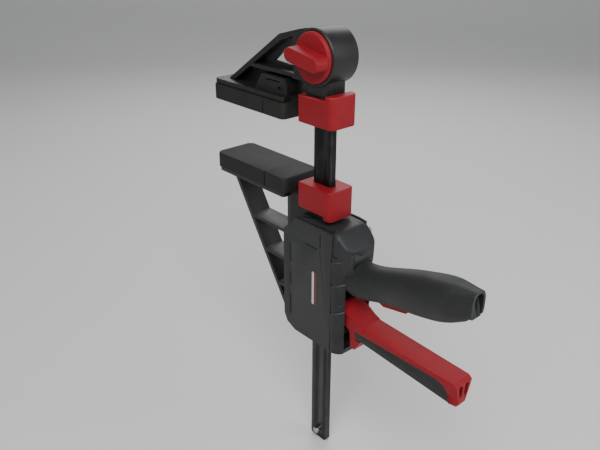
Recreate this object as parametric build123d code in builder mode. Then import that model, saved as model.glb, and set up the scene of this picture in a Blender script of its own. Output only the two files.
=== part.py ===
"""One-hand bar clamp: a fixed jaw on a flat steel bar and a moving head driven by a squeeze trigger.

Frame: the origin is the centre of the fixed pad's clamping face, +Z up along the bar, +X from the
jaw tips towards the handle, and -Y the side of the lock knob. Outlines are drawn on the side
plane, whose local origin is on the bar's axis at the height of the fixed pad's face.
"""
import os
from math import cos, radians, sin, tan

from build123d import *

os.makedirs("parts", exist_ok=True)

# ------------------------------------------------------------------ driving dimensions, mm
bar_width = 20.0
bar_thickness = 6.0
bar_below_stop = 9.0
pad_opening = 49.0
max_opening = 160.0
pad_length = 93.0
pad_width = 40.0
pad_thickness = 13.0
pad_setback = 27.0
foot_thickness = 4.5
foot_width = 36.0
arm_width = 20.0
flange_thickness = 4.0
member_thickness = 3.0
drum_radius = 21.0
drum_width = 26.0
drum_height = 51.4
knob_radius = 18.8
guard_width = 27.0
guard_height = 21.5
guard_step = 3.5
guard_wall_front = 7.5
guard_wall_rear = 10.5
neck_gap = 6.2
housing_height = 110.3
housing_front = 28.0
housing_rear = 39.5
core_width = 37.0
shell_wall = 3.0
panel_thickness = 1.5
hump_rear = 46.0
hump_half = 14.0
hump_depth = 34.0
grip_length = 92.0
handle_tilt = 13.5
trigger_reach = 116.5
trigger_width = 23.6
trigger_tip_width = 18.4
brake_tilt = 4.5

# ------------------------------------------------------------------ clearances, mm
slide_gap = 0.15
running_gap = 0.05
seat_gap = 0.1
shell_gap = 0.3
pad_face_inset = 0.3

# ------------------------------------------------------------------ derived places, mm
bar_x = pad_setback + pad_length / 2
moving_face = -pad_opening
fixed_foot = pad_thickness
moving_foot = moving_face - pad_thickness
upper_guard_low = pad_face_inset
upper_guard_top = upper_guard_low + guard_height
lower_guard_top = moving_face - pad_face_inset
lower_guard_low = lower_guard_top - guard_height
housing_top = lower_guard_low - neck_gap
housing_floor = housing_top - housing_height
stop_radius = 3.0
stop_z = housing_floor - (max_opening - pad_opening) - stop_radius
bar_low = stop_z - bar_below_stop
bar_high = drum_height + 13.0
guard_front = bar_width / 2 + guard_wall_front
guard_rear = bar_width / 2 + guard_wall_rear
guard_split = bar_width / 2 + 2.6
neck_front = bar_width / 2 + 4.0
neck_rear = guard_split - shell_gap
arm_tip = pad_setback + pad_length - 11.0
jaw_screw_radius = 1.6
jaw_screw_heights = (housing_top - 38.0, housing_top - 93.0)

side = Plane(origin=(bar_x, 0, 0), x_dir=(1, 0, 0), z_dir=(0, -1, 0))


def side_at(y):
    """Side plane moved to Y = y; it extrudes towards -Y."""
    return Plane(origin=(bar_x, y, 0), x_dir=(1, 0, 0), z_dir=(0, -1, 0))


def level(z):
    """Horizontal plane at height z, centred on the bar."""
    return Plane(origin=(bar_x, 0, z), x_dir=(1, 0, 0), z_dir=(0, 0, 1))


def finish(builder, name):
    """Label a finished piece and write its STEP file."""
    builder.part.label = name
    export_step(builder.part, "parts/" + name + ".step")


def coil_part(x, radius, wire, low, high, turns):
    """Upright compression spring between two heights, the wire's centre line a helix."""
    rise = high - low - wire
    with BuildPart() as coil:
        with BuildLine() as path:
            Helix(pitch=rise / turns, height=rise, radius=radius, center=(x, 0, low + wire / 2))
        with BuildSketch(Plane(origin=path.line @ 0, z_dir=path.line % 0)):
            Circle(wire / 2)
        sweep(is_frenet=True)
    return coil


# ------------------------------------------------------------------ bar and its stop pin
lock_pin_radius = 3.6
with BuildPart() as bar:
    with BuildSketch(level(bar_low)):
        Rectangle(bar_width, bar_thickness)
    extrude(amount=bar_high - bar_low)
    chamfer(bar.edges().filter_by(Axis.Z), 0.6)
    chamfer(bar.faces().sort_by(Axis.Z)[0].edges().filter_by(Axis.Y), 2.0)
    with BuildSketch(side):
        with Locations((0, stop_z)):
            Circle(stop_radius)
        with Locations((0, drum_height)):
            Circle(lock_pin_radius + 0.08)
    extrude(amount=bar_thickness, both=True, mode=Mode.SUBTRACT)
finish(bar, "bar")

stop_pin_length = bar_thickness + 8.0
with BuildPart() as bar_stop_pin:
    with BuildSketch(side):
        with Locations((0, stop_z)):
            Circle(stop_radius - 0.02)
    extrude(amount=stop_pin_length / 2, both=True)
    chamfer(bar_stop_pin.edges(), 0.6)
finish(bar_stop_pin, "bar_stop_pin")


# ------------------------------------------------------------------ clamping pads
peg_radius = 2.5
peg_length = foot_thickness - 0.8
peg_spacing = pad_length * 0.6


def pad_part(face, up):
    """Soft pad from its clamping face; up is +1 when its body is above the face."""
    middle = face + up * pad_thickness / 2
    back = face + up * pad_thickness
    with BuildPart() as pad:
        with BuildSketch(Plane.XY.offset(middle)):
            Rectangle(pad_length, pad_width)
        extrude(amount=pad_thickness / 2, both=True)
        uprights = pad.edges().filter_by(Axis.Z)
        fillet(uprights.group_by(Axis.X)[-1], 5.0)
        chamfer(pad.edges().filter_by(Axis.Z).group_by(Axis.X)[0], 4.0)
        chamfer(pad.faces().sort_by(Axis.Z)[0 if up > 0 else -1].edges(), 0.8)
        with BuildSketch(Plane.XY.offset(middle)):
            with Locations((pad_length * 0.235, pad_width / 2), (pad_length * 0.235, -pad_width / 2)):
                Rectangle(2.0, 2.0)
        extrude(amount=pad_thickness / 2, both=True, mode=Mode.SUBTRACT)
        with BuildSketch(Plane.XY.offset(back)):
            with GridLocations(peg_spacing, 0, 2, 1):
                Circle(peg_radius)
        extrude(amount=up * peg_length)
    return pad


fixed_jaw_pad = pad_part(0.0, 1)
finish(fixed_jaw_pad, "fixed_jaw_pad")
moving_jaw_pad = pad_part(moving_face, -1)
finish(moving_jaw_pad, "moving_jaw_pad")


def peg_holes(z_foot, up):
    """Cutter for the holes in a jaw's foot that take the pad's pegs."""
    with BuildPart() as holes:
        with BuildSketch(Plane.XY.offset(z_foot)):
            with GridLocations(peg_spacing, 0, 2, 1):
                Circle(peg_radius + seat_gap)
        extrude(amount=up * foot_thickness)
    return holes.part


# ------------------------------------------------------------------ red guards on the bar
def guard_part(low, high, step_up):
    """Block around the bar, its rear part taller by one step on the side away from the pads."""
    with BuildPart() as guard:
        with BuildSketch(level(low)):
            with Locations(((guard_rear - guard_front) / 2, 0)):
                Rectangle(guard_front + guard_rear, guard_width)
        extrude(amount=high - low)
        with BuildSketch(level(high if step_up else low - guard_step)):
            with Locations(((guard_rear + guard_split) / 2, 0)):
                Rectangle(guard_rear - guard_split, guard_width)
        extrude(amount=guard_step)
        uprights = guard.edges().filter_by(Axis.Z).group_by(Axis.X)
        fillet(uprights[-1], 5.0)
        fillet(guard.edges().filter_by(Axis.Z).group_by(Axis.X)[0], 2.0)
        with BuildSketch(level(low - guard_step)):
            Rectangle(bar_width + 2 * slide_gap, bar_thickness + 2 * slide_gap)
        extrude(amount=high - low + 2 * guard_step, mode=Mode.SUBTRACT)
        outer = guard.faces().sort_by(Axis.Z)[0 if step_up else -1].outer_wire().edges()
        fillet(outer, 1.2)
    return guard


upper_bar_guard = guard_part(upper_guard_low, upper_guard_top, True)
finish(upper_bar_guard, "upper_bar_guard")
lower_bar_guard = guard_part(lower_guard_low, lower_guard_top, False)
finish(lower_bar_guard, "lower_bar_guard")

# ------------------------------------------------------------------ fixed jaw: foot, truss arm, neck and drum
web_thickness = 3.0
arm_foot_top = fixed_foot + foot_thickness
shoulder_x = -(bar_width / 2 + 32.0)
shoulder_z = drum_height + 11.5
crown_x = -(bar_width / 2 + 8.0)
crown_z = drum_height + drum_radius - 3.0
arm_slope = (shoulder_z - arm_foot_top) / (shoulder_x + arm_tip)
arm_member_top = arm_foot_top + 18.0
arm_member_low = arm_member_top - member_thickness
spine_front = 1.0 - pad_setback
spine_low = arm_member_low - 1.0
slope_run = flange_thickness / sin(radians(34.0))
hub_radius = 8.0
hub_depth = 7.0
knob_seat = 2.6
cover_radius = 16.0
cover_thickness = 2.0


def arm_line(z):
    """X of the fixed arm's outer slope at height z."""
    return -arm_tip + (z - arm_foot_top) / arm_slope


fixed_peg_holes = peg_holes(fixed_foot, 1)
with BuildPart() as drum:
    with BuildSketch(side):
        with Locations((0, drum_height)):
            Circle(drum_radius)
    extrude(amount=drum_width / 2, both=True)
    chamfer(drum.edges().filter_by(GeomType.CIRCLE), 1.0)

with BuildPart() as fixed_jaw:
    with BuildSketch(side):
        with BuildLine():
            Polyline(
                (-pad_setback, fixed_foot),
                (-arm_tip - 3.0, fixed_foot),
                (-arm_tip - 3.0, arm_foot_top),
                (-arm_tip, arm_foot_top),
                (shoulder_x, shoulder_z),
                (crown_x, crown_z),
                (0, drum_height + drum_radius),
                (0, spine_low),
                (spine_front, spine_low),
                (-pad_setback, spine_low),
                (-pad_setback, fixed_foot),
            )
        make_face()
    extrude(amount=arm_width / 2, both=True)
    # pockets on both sides of a thin web, above and below the middle member
    for web_side, depth in ((web_thickness / 2, -arm_width), (-web_thickness / 2, arm_width)):
        with BuildSketch(side_at(web_side)):
            with BuildLine():
                Polyline(
                    (arm_line(arm_member_top) + slope_run, arm_member_top),
                    (shoulder_x + 1.0, shoulder_z - flange_thickness - 0.7),
                    (spine_front, crown_z - flange_thickness - 2.0),
                    (spine_front, arm_member_top),
                    (arm_line(arm_member_top) + slope_run, arm_member_top),
                )
            make_face()
            with BuildLine():
                Polyline(
                    (-arm_tip + slope_run, arm_foot_top),
                    (arm_line(arm_member_low) + slope_run, arm_member_low),
                    (-pad_setback, arm_member_low),
                    (-pad_setback, arm_foot_top),
                    (-arm_tip + slope_run, arm_foot_top),
                )
            make_face()
        extrude(amount=depth, mode=Mode.SUBTRACT)
    # window through the web above the member
    with BuildSketch(side):
        with BuildLine():
            Polyline(
                (shoulder_x - 17.0, arm_member_top + 3.5),
                (shoulder_x - 2.0, arm_member_top + 15.5),
                (spine_front - 3.0, arm_member_top + 18.5),
                (spine_front - 3.0, arm_member_top + 3.5),
                (shoulder_x - 17.0, arm_member_top + 3.5),
            )
        make_face()
    extrude(amount=arm_width, both=True, mode=Mode.SUBTRACT)
    # foot plate as wide as the pad allows, and the boss above it
    with BuildSketch(Plane.XY.offset(fixed_foot)):
        with Locations((-1.0, 0)):
            RectangleRounded(pad_length - 4.0, foot_width, 3.0)
    extrude(amount=foot_thickness)
    boss_front = -(pad_setback + 44.0)
    boss_rear = -(pad_setback + 4.0)
    boss_top = arm_foot_top + 12.5
    with BuildSketch(side):
        with BuildLine():
            Polyline(
                (boss_front, arm_foot_top),
                (boss_front + 9.0, boss_top),
                (boss_rear - 3.0, boss_top),
                (boss_rear, boss_top - 4.0),
                (boss_rear, arm_foot_top),
                (boss_front, arm_foot_top),
            )
        make_face()
    extrude(amount=arm_width / 2 + 2.0, both=True)
    # drum and neck
    add(drum.part)
    with BuildSketch(level(upper_guard_top)):
        with Locations(((neck_rear - neck_front) / 2, 0)):
            RectangleRounded(neck_front + neck_rear, arm_width, 4.0)
    extrude(amount=drum_height - upper_guard_top)
    # slot for the bar
    with BuildSketch(level(upper_guard_top - 1.0)):
        Rectangle(bar_width + 2 * seat_gap, bar_thickness + 2 * seat_gap)
    extrude(amount=bar_high + seat_gap - upper_guard_top + 1.0, mode=Mode.SUBTRACT)
    # seat for the knob, bore for its hub and for the lock pin
    with BuildSketch(side_at(-drum_width / 2)):
        with Locations((0, drum_height)):
            Circle(knob_radius + 0.4)
    extrude(amount=-knob_seat, mode=Mode.SUBTRACT)
    with BuildSketch(side_at(-drum_width / 2)):
        with Locations((0, drum_height)):
            Circle(hub_radius + running_gap)
    extrude(amount=-(knob_seat + hub_depth), mode=Mode.SUBTRACT)
    with BuildSketch(side_at(-drum_width / 2)):
        with Locations((0, drum_height)):
            Circle(lock_pin_radius + running_gap)
    extrude(amount=-(drum_width / 2 + bar_thickness / 2 + 1.0), mode=Mode.SUBTRACT)
    # seat for the back cover
    with BuildSketch(side_at(drum_width / 2)):
        with Locations((0, drum_height)):
            Circle(cover_radius + seat_gap)
    extrude(amount=cover_thickness, mode=Mode.SUBTRACT)
    # slot and hole in the boss
    with BuildSketch(side_at(-(arm_width / 2 + 2.0))):
        with Locations(((boss_front + boss_rear) / 2 + 3.0, boss_top - 3.5)):
            Rectangle(16.0, 1.2)
        with Locations((boss_rear - 9.0, arm_foot_top + 4.0)):
            Circle(1.6)
    extrude(amount=-1.5, mode=Mode.SUBTRACT)
    add(fixed_peg_holes, mode=Mode.SUBTRACT)
finish(fixed_jaw, "fixed_jaw")

with BuildPart() as drum_back_cover:
    with BuildSketch(side_at(drum_width / 2)):
        with Locations((0, drum_height)):
            Circle(cover_radius)
    extrude(amount=cover_thickness)
    chamfer(drum_back_cover.faces().sort_by(Axis.Y)[-1].edges(), 0.5)
finish(drum_back_cover, "drum_back_cover")

# ------------------------------------------------------------------ lock knob and pin
knob_face = -(drum_width / 2 - knob_seat) - 0.2
knob_disc = 5.5
knob_outer = knob_face - knob_disc
knob_bar_height = 10.5
knob_bar_width = 12.0
knob_bar_turn = -9.0
pin_travel = 6.5
pin_tip = bar_thickness / 2 - 0.6
pin_head_radius = 4.6
pin_head = 1.2
pin_head_y = -(drum_width / 2 - knob_seat) - 0.5
chamber_depth = pin_travel + 0.5

with BuildPart() as lock_knob:
    with BuildSketch(side_at(knob_face)):
        with Locations((0, drum_height)):
            Circle(knob_radius)
    extrude(amount=knob_disc)
    chamfer(lock_knob.faces().sort_by(Axis.Y)[0].edges(), 1.4)
    with BuildSketch(side_at(knob_outer)):
        with Locations(Location((0, drum_height), knob_bar_turn)):
            SlotOverall(2 * knob_radius, knob_bar_width)
    extrude(amount=knob_bar_height, taper=4)
    fillet(lock_knob.faces().sort_by(Axis.Y)[0].edges(), 1.2)
    with BuildSketch(side_at(knob_face)):
        with Locations((0, drum_height)):
            Circle(hub_radius)
    extrude(amount=-(hub_depth - 0.3))
    # chamber for the pin's head and the bore that guides the pin
    with BuildSketch(side_at(pin_head_y + pin_head + 0.3)):
        with Locations((0, drum_height)):
            Circle(pin_head_radius + 0.3)
    extrude(amount=pin_head + 0.3 + chamber_depth, mode=Mode.SUBTRACT)
    with BuildSketch(side_at(0)):
        with Locations((0, drum_height)):
            Circle(lock_pin_radius + running_gap)
    extrude(amount=-pin_head_y, mode=Mode.SUBTRACT)
finish(lock_knob, "lock_knob")

with BuildPart() as lock_pin:
    with BuildSketch(side_at(pin_tip)):
        with Locations((0, drum_height)):
            Circle(lock_pin_radius)
    extrude(amount=pin_tip - pin_head_y)
    chamfer(lock_pin.faces().sort_by(Axis.Y)[-1].edges(), 0.8)
    with BuildSketch(side_at(pin_head_y + pin_head)):
        with Locations((0, drum_height)):
            Circle(pin_head_radius)
    extrude(amount=pin_head)
finish(lock_pin, "lock_pin")

# ------------------------------------------------------------------ moving jaw
bay_height = 27.5
jaw_foot_low = moving_foot - foot_thickness
jaw_toe_x = -(housing_front + 7.0)
jaw_toe_z = housing_floor + 4.0
housing_bevel = 15.5
jaw_slope = (jaw_foot_low - jaw_toe_z) / (arm_tip + jaw_toe_x)
jaw_run = flange_thickness / sin(radians(57.5))
jaw_spine_front = -(housing_front + 6.0)
first_member = housing_top - 24.0
last_bay_low = jaw_foot_low - jaw_slope * (arm_tip + jaw_spine_front - jaw_run) + 2.0


def jaw_line(z):
    """X of the moving jaw's sloped outer face at height z."""
    return -arm_tip + (jaw_foot_low - z) / jaw_slope


moving_peg_holes = peg_holes(moving_foot, -1)
with BuildPart() as moving_jaw:
    with BuildSketch(side):
        with BuildLine():
            Polyline(
                (-guard_front - shell_gap, moving_foot),
                (-arm_tip - 3.0, moving_foot),
                (-arm_tip - 3.0, jaw_foot_low),
                (-arm_tip, jaw_foot_low),
                (jaw_toe_x, jaw_toe_z),
                (-housing_front, jaw_toe_z - 2.0),
                (-housing_front, housing_top - housing_bevel),
                (-housing_front + housing_bevel, housing_top),
                (neck_rear, housing_top),
                (neck_rear, lower_guard_low),
                (-guard_front - shell_gap, lower_guard_low),
                (-guard_front - shell_gap, moving_foot),
            )
        make_face()
    extrude(amount=arm_width / 2, both=True)
    # ladder of open bays between the sloped flange and the spine
    for bay in range(4):
        bay_low = max(first_member - bay * bay_height, last_bay_low)
        bay_top = first_member - (bay - 1) * bay_height - member_thickness
        if bay == 0:
            bay_top = jaw_foot_low
        with BuildSketch(side):
            with BuildLine():
                Polyline(
                    (jaw_line(bay_top) + jaw_run, bay_top),
                    (jaw_spine_front, bay_top),
                    (jaw_spine_front, bay_low),
                    (jaw_line(bay_low) + jaw_run, bay_low),
                    (jaw_line(bay_top) + jaw_run, bay_top),
                )
            make_face()
        extrude(amount=arm_width, both=True, mode=Mode.SUBTRACT)
    # foot plate under the pad
    with BuildSketch(Plane.XY.offset(jaw_foot_low)):
        with Locations((-1.0, 0)):
            RectangleRounded(pad_length - 4.0, foot_width, 3.0)
    extrude(amount=foot_thickness)
    # passage for the bar through the neck
    with BuildSketch(level(housing_top - 1.0)):
        Rectangle(bar_width + 4 * slide_gap, bar_thickness + 4 * slide_gap)
    extrude(amount=neck_gap + 2.0, mode=Mode.SUBTRACT)
    add(moving_peg_holes, mode=Mode.SUBTRACT)
    # clearance holes for the screws into the housing
    with BuildSketch(Plane.YZ.offset(bar_x - housing_front)):
        for screw_z in jaw_screw_heights:
            with Locations((0, screw_z)):
                Circle(jaw_screw_radius + running_gap)
    extrude(amount=-8.0, mode=Mode.SUBTRACT)
finish(moving_jaw, "moving_jaw")

# ------------------------------------------------------------------ handle axis and lever places
handle_x = housing_rear + 5.5
handle_z = housing_top - 42.0
tilt = radians(handle_tilt)


def along_handle(s, rise=0.0):
    """Side-plane point at distance s along the handle's axis and rise above it."""
    return (handle_x + s * cos(tilt) - rise * sin(tilt), handle_z + s * sin(tilt) + rise * cos(tilt))


def across_handle(s):
    """Plane across the handle at distance s along its axis; local X is +Y, local Y is up."""
    x, z = along_handle(s)
    return Plane(origin=(bar_x + x, 0, z), x_dir=(0, 1, 0), z_dir=(cos(tilt), 0, sin(tilt)))


def handle_loft(stations):
    """Solid through ellipses given as (distance along the handle, half width, half height)."""
    with BuildPart() as body:
        for s, half_width, half_height in stations:
            with BuildSketch(across_handle(s)):
                Ellipse(half_width, half_height)
        loft()
    return body.part


root_length = 12.0
grip_end = root_length + grip_length
cap_length = 9.5
cap_wall = 2.6
tongue_width = 12.0
tongue_height = 18.0
channel_width = 7.0
lever_width = channel_width - 1.4
release_x, release_z = along_handle(root_length + 3.0, 1.5)
release_pin_radius = 2.0
trigger_x = housing_rear - 7.5
trigger_z = housing_top - 73.0
trigger_pin_radius = 3.0
nose_radius = 3.0
nose_x = trigger_x - 12.0
plate_front = -(bar_width / 2 + 7.5)
plate_thickness = 3.0
plate_width = 18.0
drive_top = trigger_z - nose_radius - 0.4
drive_rear = nose_x + 5.0
brake_pin_radius = 1.5
brake_z = housing_top - 24.0
brake_rear = bar_width / 2 + 18.0
brake_slope = tan(radians(brake_tilt))
brake_rear_z = brake_z + (brake_rear - plate_front) * brake_slope + plate_thickness / 2

end_half_width = 10.4
end_half_height = 12.9
root_stations = [(-9.0, 12.2, 21.0), (0.0, 12.2, 17.4), (root_length, 12.0, 15.0)]
grip_stations = [
    (root_length + seat_gap, 12.0, 15.0),
    (root_length + 0.2 * grip_length, 11.9, 14.8),
    (root_length + 0.45 * grip_length, 13.2, 16.5),
    (root_length + 0.67 * grip_length, 13.9, 17.4),
    (root_length + 0.85 * grip_length, 12.8, 15.9),
    (grip_end, end_half_width, end_half_height),
]
cap_stations = [
    (grip_end + seat_gap, end_half_width, end_half_height),
    (grip_end + 0.6 * cap_length, end_half_width - 1.2, end_half_height - 0.8),
    (grip_end + cap_length, end_half_width - 3.2, end_half_height - 2.2),
]

# ------------------------------------------------------------------ release lever
with BuildPart() as release_lever:
    with BuildSketch(side):
        with BuildLine():
            Polyline(
                (brake_rear - 4.0, brake_rear_z + 0.8),
                (brake_rear + 4.0, brake_rear_z + 0.8),
                along_handle(root_length - 12.0, -1.0),
                along_handle(root_length - 1.0, -3.5),
                along_handle(root_length + 5.0, -9.0),
                along_handle(root_length + 7.0, -15.5),
                along_handle(root_length + 10.0, -17.6),
                along_handle(root_length + 33.0, -18.6),
                along_handle(root_length + 35.0, -16.5),
                along_handle(root_length + 35.0, -14.0),
                along_handle(root_length + 12.0, -13.0),
                along_handle(root_length + 9.5, 3.0),
                along_handle(root_length + 5.0, 6.0),
                along_handle(root_length - 8.0, 6.5),
                (brake_rear + 4.0, brake_rear_z + 6.5),
                (brake_rear - 4.0, brake_rear_z + 5.0),
                (brake_rear - 4.0, brake_rear_z + 0.8),
            )
        make_face()
        with Locations((release_x, release_z)):
            Circle(release_pin_radius + running_gap, mode=Mode.SUBTRACT)
    extrude(amount=lever_width / 2, both=True)
finish(release_lever, "release_lever")

# ------------------------------------------------------------------ housing shells
floor_wall = 4.5
guide_outer = (26.0, 12.0)
guide_lip = 1.0
guide_low_height = floor_wall - guide_lip
guide_top_height = 6.0
cavity_half = core_width / 2 - shell_wall
cavity_front = -housing_front + shell_wall
cavity_rear = housing_rear - shell_wall
cavity_floor = housing_floor + floor_wall
cavity_top = housing_top - shell_wall
bottom_bevel = 12.0
slot_top = trigger_z + 21.0
trigger_sweep = 24.2
screw_radius = 1.5
screw_head = 2.8
pillar_radius = 3.6
screw_places = [
    (cavity_front + 7.0, housing_top - 12.5),
    (cavity_front + 4.0, housing_floor + 19.0),
    (cavity_rear - 3.5, housing_top - 7.5),
    (cavity_rear - 11.5, housing_floor + 10.0),
]
spring_shelf = brake_z - 16.0
brake_spring_x = bar_width / 2 + 11.0

with BuildPart() as housing_core:
    with BuildSketch(side):
        with BuildLine():
            Polyline(
                (-housing_front + housing_bevel, housing_top),
                (-housing_front, housing_top - housing_bevel),
                (-housing_front, housing_floor + bottom_bevel),
                (-housing_front + 4.0, housing_floor + 4.5),
                (-housing_front + bottom_bevel + 2.0, housing_floor),
                (housing_rear, housing_floor),
                (housing_rear, housing_top),
                (-housing_front + housing_bevel, housing_top),
            )
        make_face()
    extrude(amount=core_width / 2, both=True)
    fillet(housing_core.edges().filter_by(Axis.Z).group_by(Axis.X)[-1], 8.5)

with BuildPart() as hump:
    with BuildSketch(side):
        with BuildLine():
            Polyline(
                (0, housing_top - 1.5),
                (33.0, housing_top - 1.5),
                (42.0, housing_top - 7.0),
                (hump_rear, housing_top - 13.0),
                (hump_rear - 0.4, housing_top - 25.0),
                (hump_rear - 1.5, housing_top - hump_depth),
                (0, housing_top - hump_depth),
                (0, housing_top - 1.5),
            )
        make_face()
    extrude(amount=hump_half, both=True)
    fillet(hump.edges().filter_by(Axis.Y, reverse=True).filter_by(lambda e: e.center().X > bar_x + 38.0), 4.0)

handle_root = handle_loft(root_stations)

with BuildPart() as housing:
    add(housing_core.part)
    add(hump.part)
    add(handle_root)
    with BuildSketch(across_handle(root_length - 4.0)):
        RectangleRounded(tongue_width, tongue_height, 2.0)
    extrude(amount=grip_length + 4.0 + cap_wall)
    # main cavity
    with BuildSketch(side):
        with BuildLine():
            Polyline(
                (cavity_front + housing_bevel, cavity_top),
                (cavity_front, cavity_top - housing_bevel),
                (cavity_front, cavity_floor + 6.0),
                (cavity_front + 6.0, cavity_floor),
                (cavity_rear, cavity_floor),
                (cavity_rear, cavity_top),
                (cavity_front + housing_bevel, cavity_top),
            )
        make_face()
    extrude(amount=cavity_half, both=True, mode=Mode.SUBTRACT)
    # block around the top guide, screw pillars and the shelf under the brake spring
    with BuildSketch(level(cavity_top - guide_top_height + 2.0)):
        Rectangle(guide_outer[0] + 2.0, 2 * cavity_half)
    extrude(amount=guide_top_height - 1.0)
    with BuildSketch(side):
        for screw_place in screw_places:
            with Locations(screw_place):
                Circle(pillar_radius)
    extrude(amount=cavity_half + 0.5, both=True)
    with BuildSketch(level(spring_shelf - 3.0)):
        with Locations(((brake_spring_x - 6.0 + cavity_rear) / 2 + 0.5, 0)):
            Rectangle(cavity_rear - brake_spring_x + 7.0, 2 * cavity_half)
    extrude(amount=3.0)
    # passages for the bar and pockets for its two guides
    with BuildSketch(level(housing_floor - 1.0)):
        Rectangle(bar_width + 8 * slide_gap, bar_thickness + 8 * slide_gap)
    extrude(amount=housing_height + 2.0, mode=Mode.SUBTRACT)
    with BuildSketch(level(housing_floor + guide_lip)):
        Rectangle(guide_outer[0] + 2 * seat_gap, guide_outer[1] + 2 * seat_gap)
    extrude(amount=floor_wall, mode=Mode.SUBTRACT)
    with BuildSketch(level(housing_top - guide_lip)):
        Rectangle(guide_outer[0] + 2 * seat_gap, guide_outer[1] + 2 * seat_gap)
    extrude(amount=-guide_top_height - shell_wall, mode=Mode.SUBTRACT)
    # opening for the trigger at the rear
    with BuildSketch(Plane.YZ.offset(bar_x + cavity_rear - 1.0)):
        with Locations((0, (slot_top + cavity_floor) / 2)):
            Rectangle(trigger_width + 1.2, slot_top - cavity_floor)
    extrude(amount=12.0, mode=Mode.SUBTRACT)
    with BuildSketch(side):
        with Locations((trigger_x, trigger_z)):
            Circle(trigger_sweep)
    extrude(amount=trigger_width / 2 + 0.6, both=True, mode=Mode.SUBTRACT)
    # channel for the release lever
    with BuildSketch(side):
        with BuildLine():
            Polyline(
                (brake_rear - 6.0, brake_rear_z + 9.0),
                (brake_rear - 6.0, brake_z - 4.0),
                along_handle(root_length - 14.0, -9.0),
                along_handle(root_length + 2.0, -20.0),
                along_handle(root_length + 38.0, -20.0),
                along_handle(root_length + 38.0, -6.0),
                along_handle(root_length + 14.0, 4.0),
                along_handle(root_length + 9.0, 8.0),
                along_handle(root_length - 7.0, 9.0),
                (brake_rear + 7.0, brake_rear_z + 9.0),
                (brake_rear - 6.0, brake_rear_z + 9.0),
            )
        make_face()
    extrude(amount=channel_width / 2, both=True, mode=Mode.SUBTRACT)
    # bores for the pivot pins
    with BuildSketch(side):
        with Locations((trigger_x, trigger_z)):
            Circle(trigger_pin_radius + 0.02)
        with Locations((plate_front, brake_z)):
            Circle(brake_pin_radius + 0.02)
    extrude(amount=cavity_half + 1.6, both=True, mode=Mode.SUBTRACT)
    with BuildSketch(side):
        with Locations((release_x, release_z)):
            Circle(release_pin_radius + 0.02)
    extrude(amount=tongue_width / 2 - 0.4, both=True, mode=Mode.SUBTRACT)
    # bores for the screws, driven in from +Y
    with BuildSketch(side_at(core_width / 2 + 1.0)):
        for screw_place in screw_places:
            with Locations(screw_place):
                Circle(screw_radius + running_gap)
    extrude(amount=core_width - 3.0, mode=Mode.SUBTRACT)
    with BuildSketch(side_at(core_width / 2 + 1.0)):
        for screw_place in screw_places:
            with Locations(screw_place):
                Circle(screw_head + seat_gap)
    extrude(amount=3.2, mode=Mode.SUBTRACT)
    with BuildSketch(Plane.YZ.offset(bar_x - housing_front)):
        for screw_z in jaw_screw_heights:
            with Locations((0, screw_z)):
                Circle(jaw_screw_radius + running_gap)
    extrude(amount=6.0, mode=Mode.SUBTRACT)


def housing_half(keep):
    """One of the two shells that meet on the bar's middle plane."""
    with BuildPart() as half:
        add(housing.part)
        split(bisect_by=Plane.XZ, keep=keep)
    return half


housing_left = housing_half(Keep.BOTTOM)
finish(housing_left, "housing_left")
housing_right = housing_half(Keep.TOP)
finish(housing_right, "housing_right")

# ------------------------------------------------------------------ side panels
panel_rear = housing_rear - 10.0
slot_width = 3.0
slot_spans = [(26.0, 43.0), (53.0, 65.0), (75.0, 95.0)]


def panel_part(sign):
    """Flat cover on one side of the housing; sign is the side's direction along Y."""
    with BuildPart() as panel:
        with BuildSketch(side_at(sign * core_width / 2)):
            with BuildLine():
                Polyline(
                    (-housing_front + housing_bevel, housing_top - 0.5),
                    (-housing_front, housing_top - housing_bevel),
                    (-housing_front, housing_floor + bottom_bevel),
                    (-housing_front + 4.0, housing_floor + 4.5),
                    (-housing_front + bottom_bevel + 2.0, housing_floor),
                    (panel_rear, housing_floor),
                    (panel_rear, housing_top - 1.5),
                    (panel_rear - 8.0, housing_top - 0.5),
                    (-housing_front + housing_bevel, housing_top - 0.5),
                )
            make_face()
            for slot_high, slot_low in slot_spans:
                with Locations((-housing_front + 9.5, housing_top - (slot_high + slot_low) / 2)):
                    SlotOverall(slot_low - slot_high, slot_width, rotation=90, mode=Mode.SUBTRACT)
            with Locations((panel_rear - 12.5, housing_top - 11.5)):
                Rectangle(1.2, 12.0, mode=Mode.SUBTRACT)
            with Locations((panel_rear - 22.5, housing_top - 19.5)):
                Rectangle(14.0, 1.2, mode=Mode.SUBTRACT)
            if sign > 0:
                for screw_place in screw_places:
                    with Locations(screw_place):
                        Circle(screw_head + 0.4, mode=Mode.SUBTRACT)
        extrude(amount=-sign * panel_thickness)
        fillet(panel.faces().sort_by(Axis.Y)[-1 if sign > 0 else 0].outer_wire().edges(), 0.5)
    return panel


side_panel_left = panel_part(1)
finish(side_panel_left, "side_panel_left")
side_panel_right = panel_part(-1)
finish(side_panel_right, "side_panel_right")

# ------------------------------------------------------------------ ribbed rear grips
ridge_heights = (25.0, 46.0, 72.0)


def corner_block(grow, low, high):
    """Upright block with the core's plan grown outwards by a given amount."""
    with BuildPart() as block:
        with BuildSketch(level(low)):
            with Locations(((housing_rear - housing_front) / 2, 0)):
                RectangleRounded(housing_rear + housing_front + 2 * grow, core_width + 2 * grow, 8.5 + grow)
        extrude(amount=high - low)
    return block.part


grip_blank = corner_block(panel_thickness, housing_floor, housing_top - 21.0)
grip_inner = corner_block(0.0, housing_floor - 1.0, housing_top)
grip_ridge_inner = corner_block(panel_thickness - 0.7, housing_floor - 1.0, housing_top)


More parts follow.
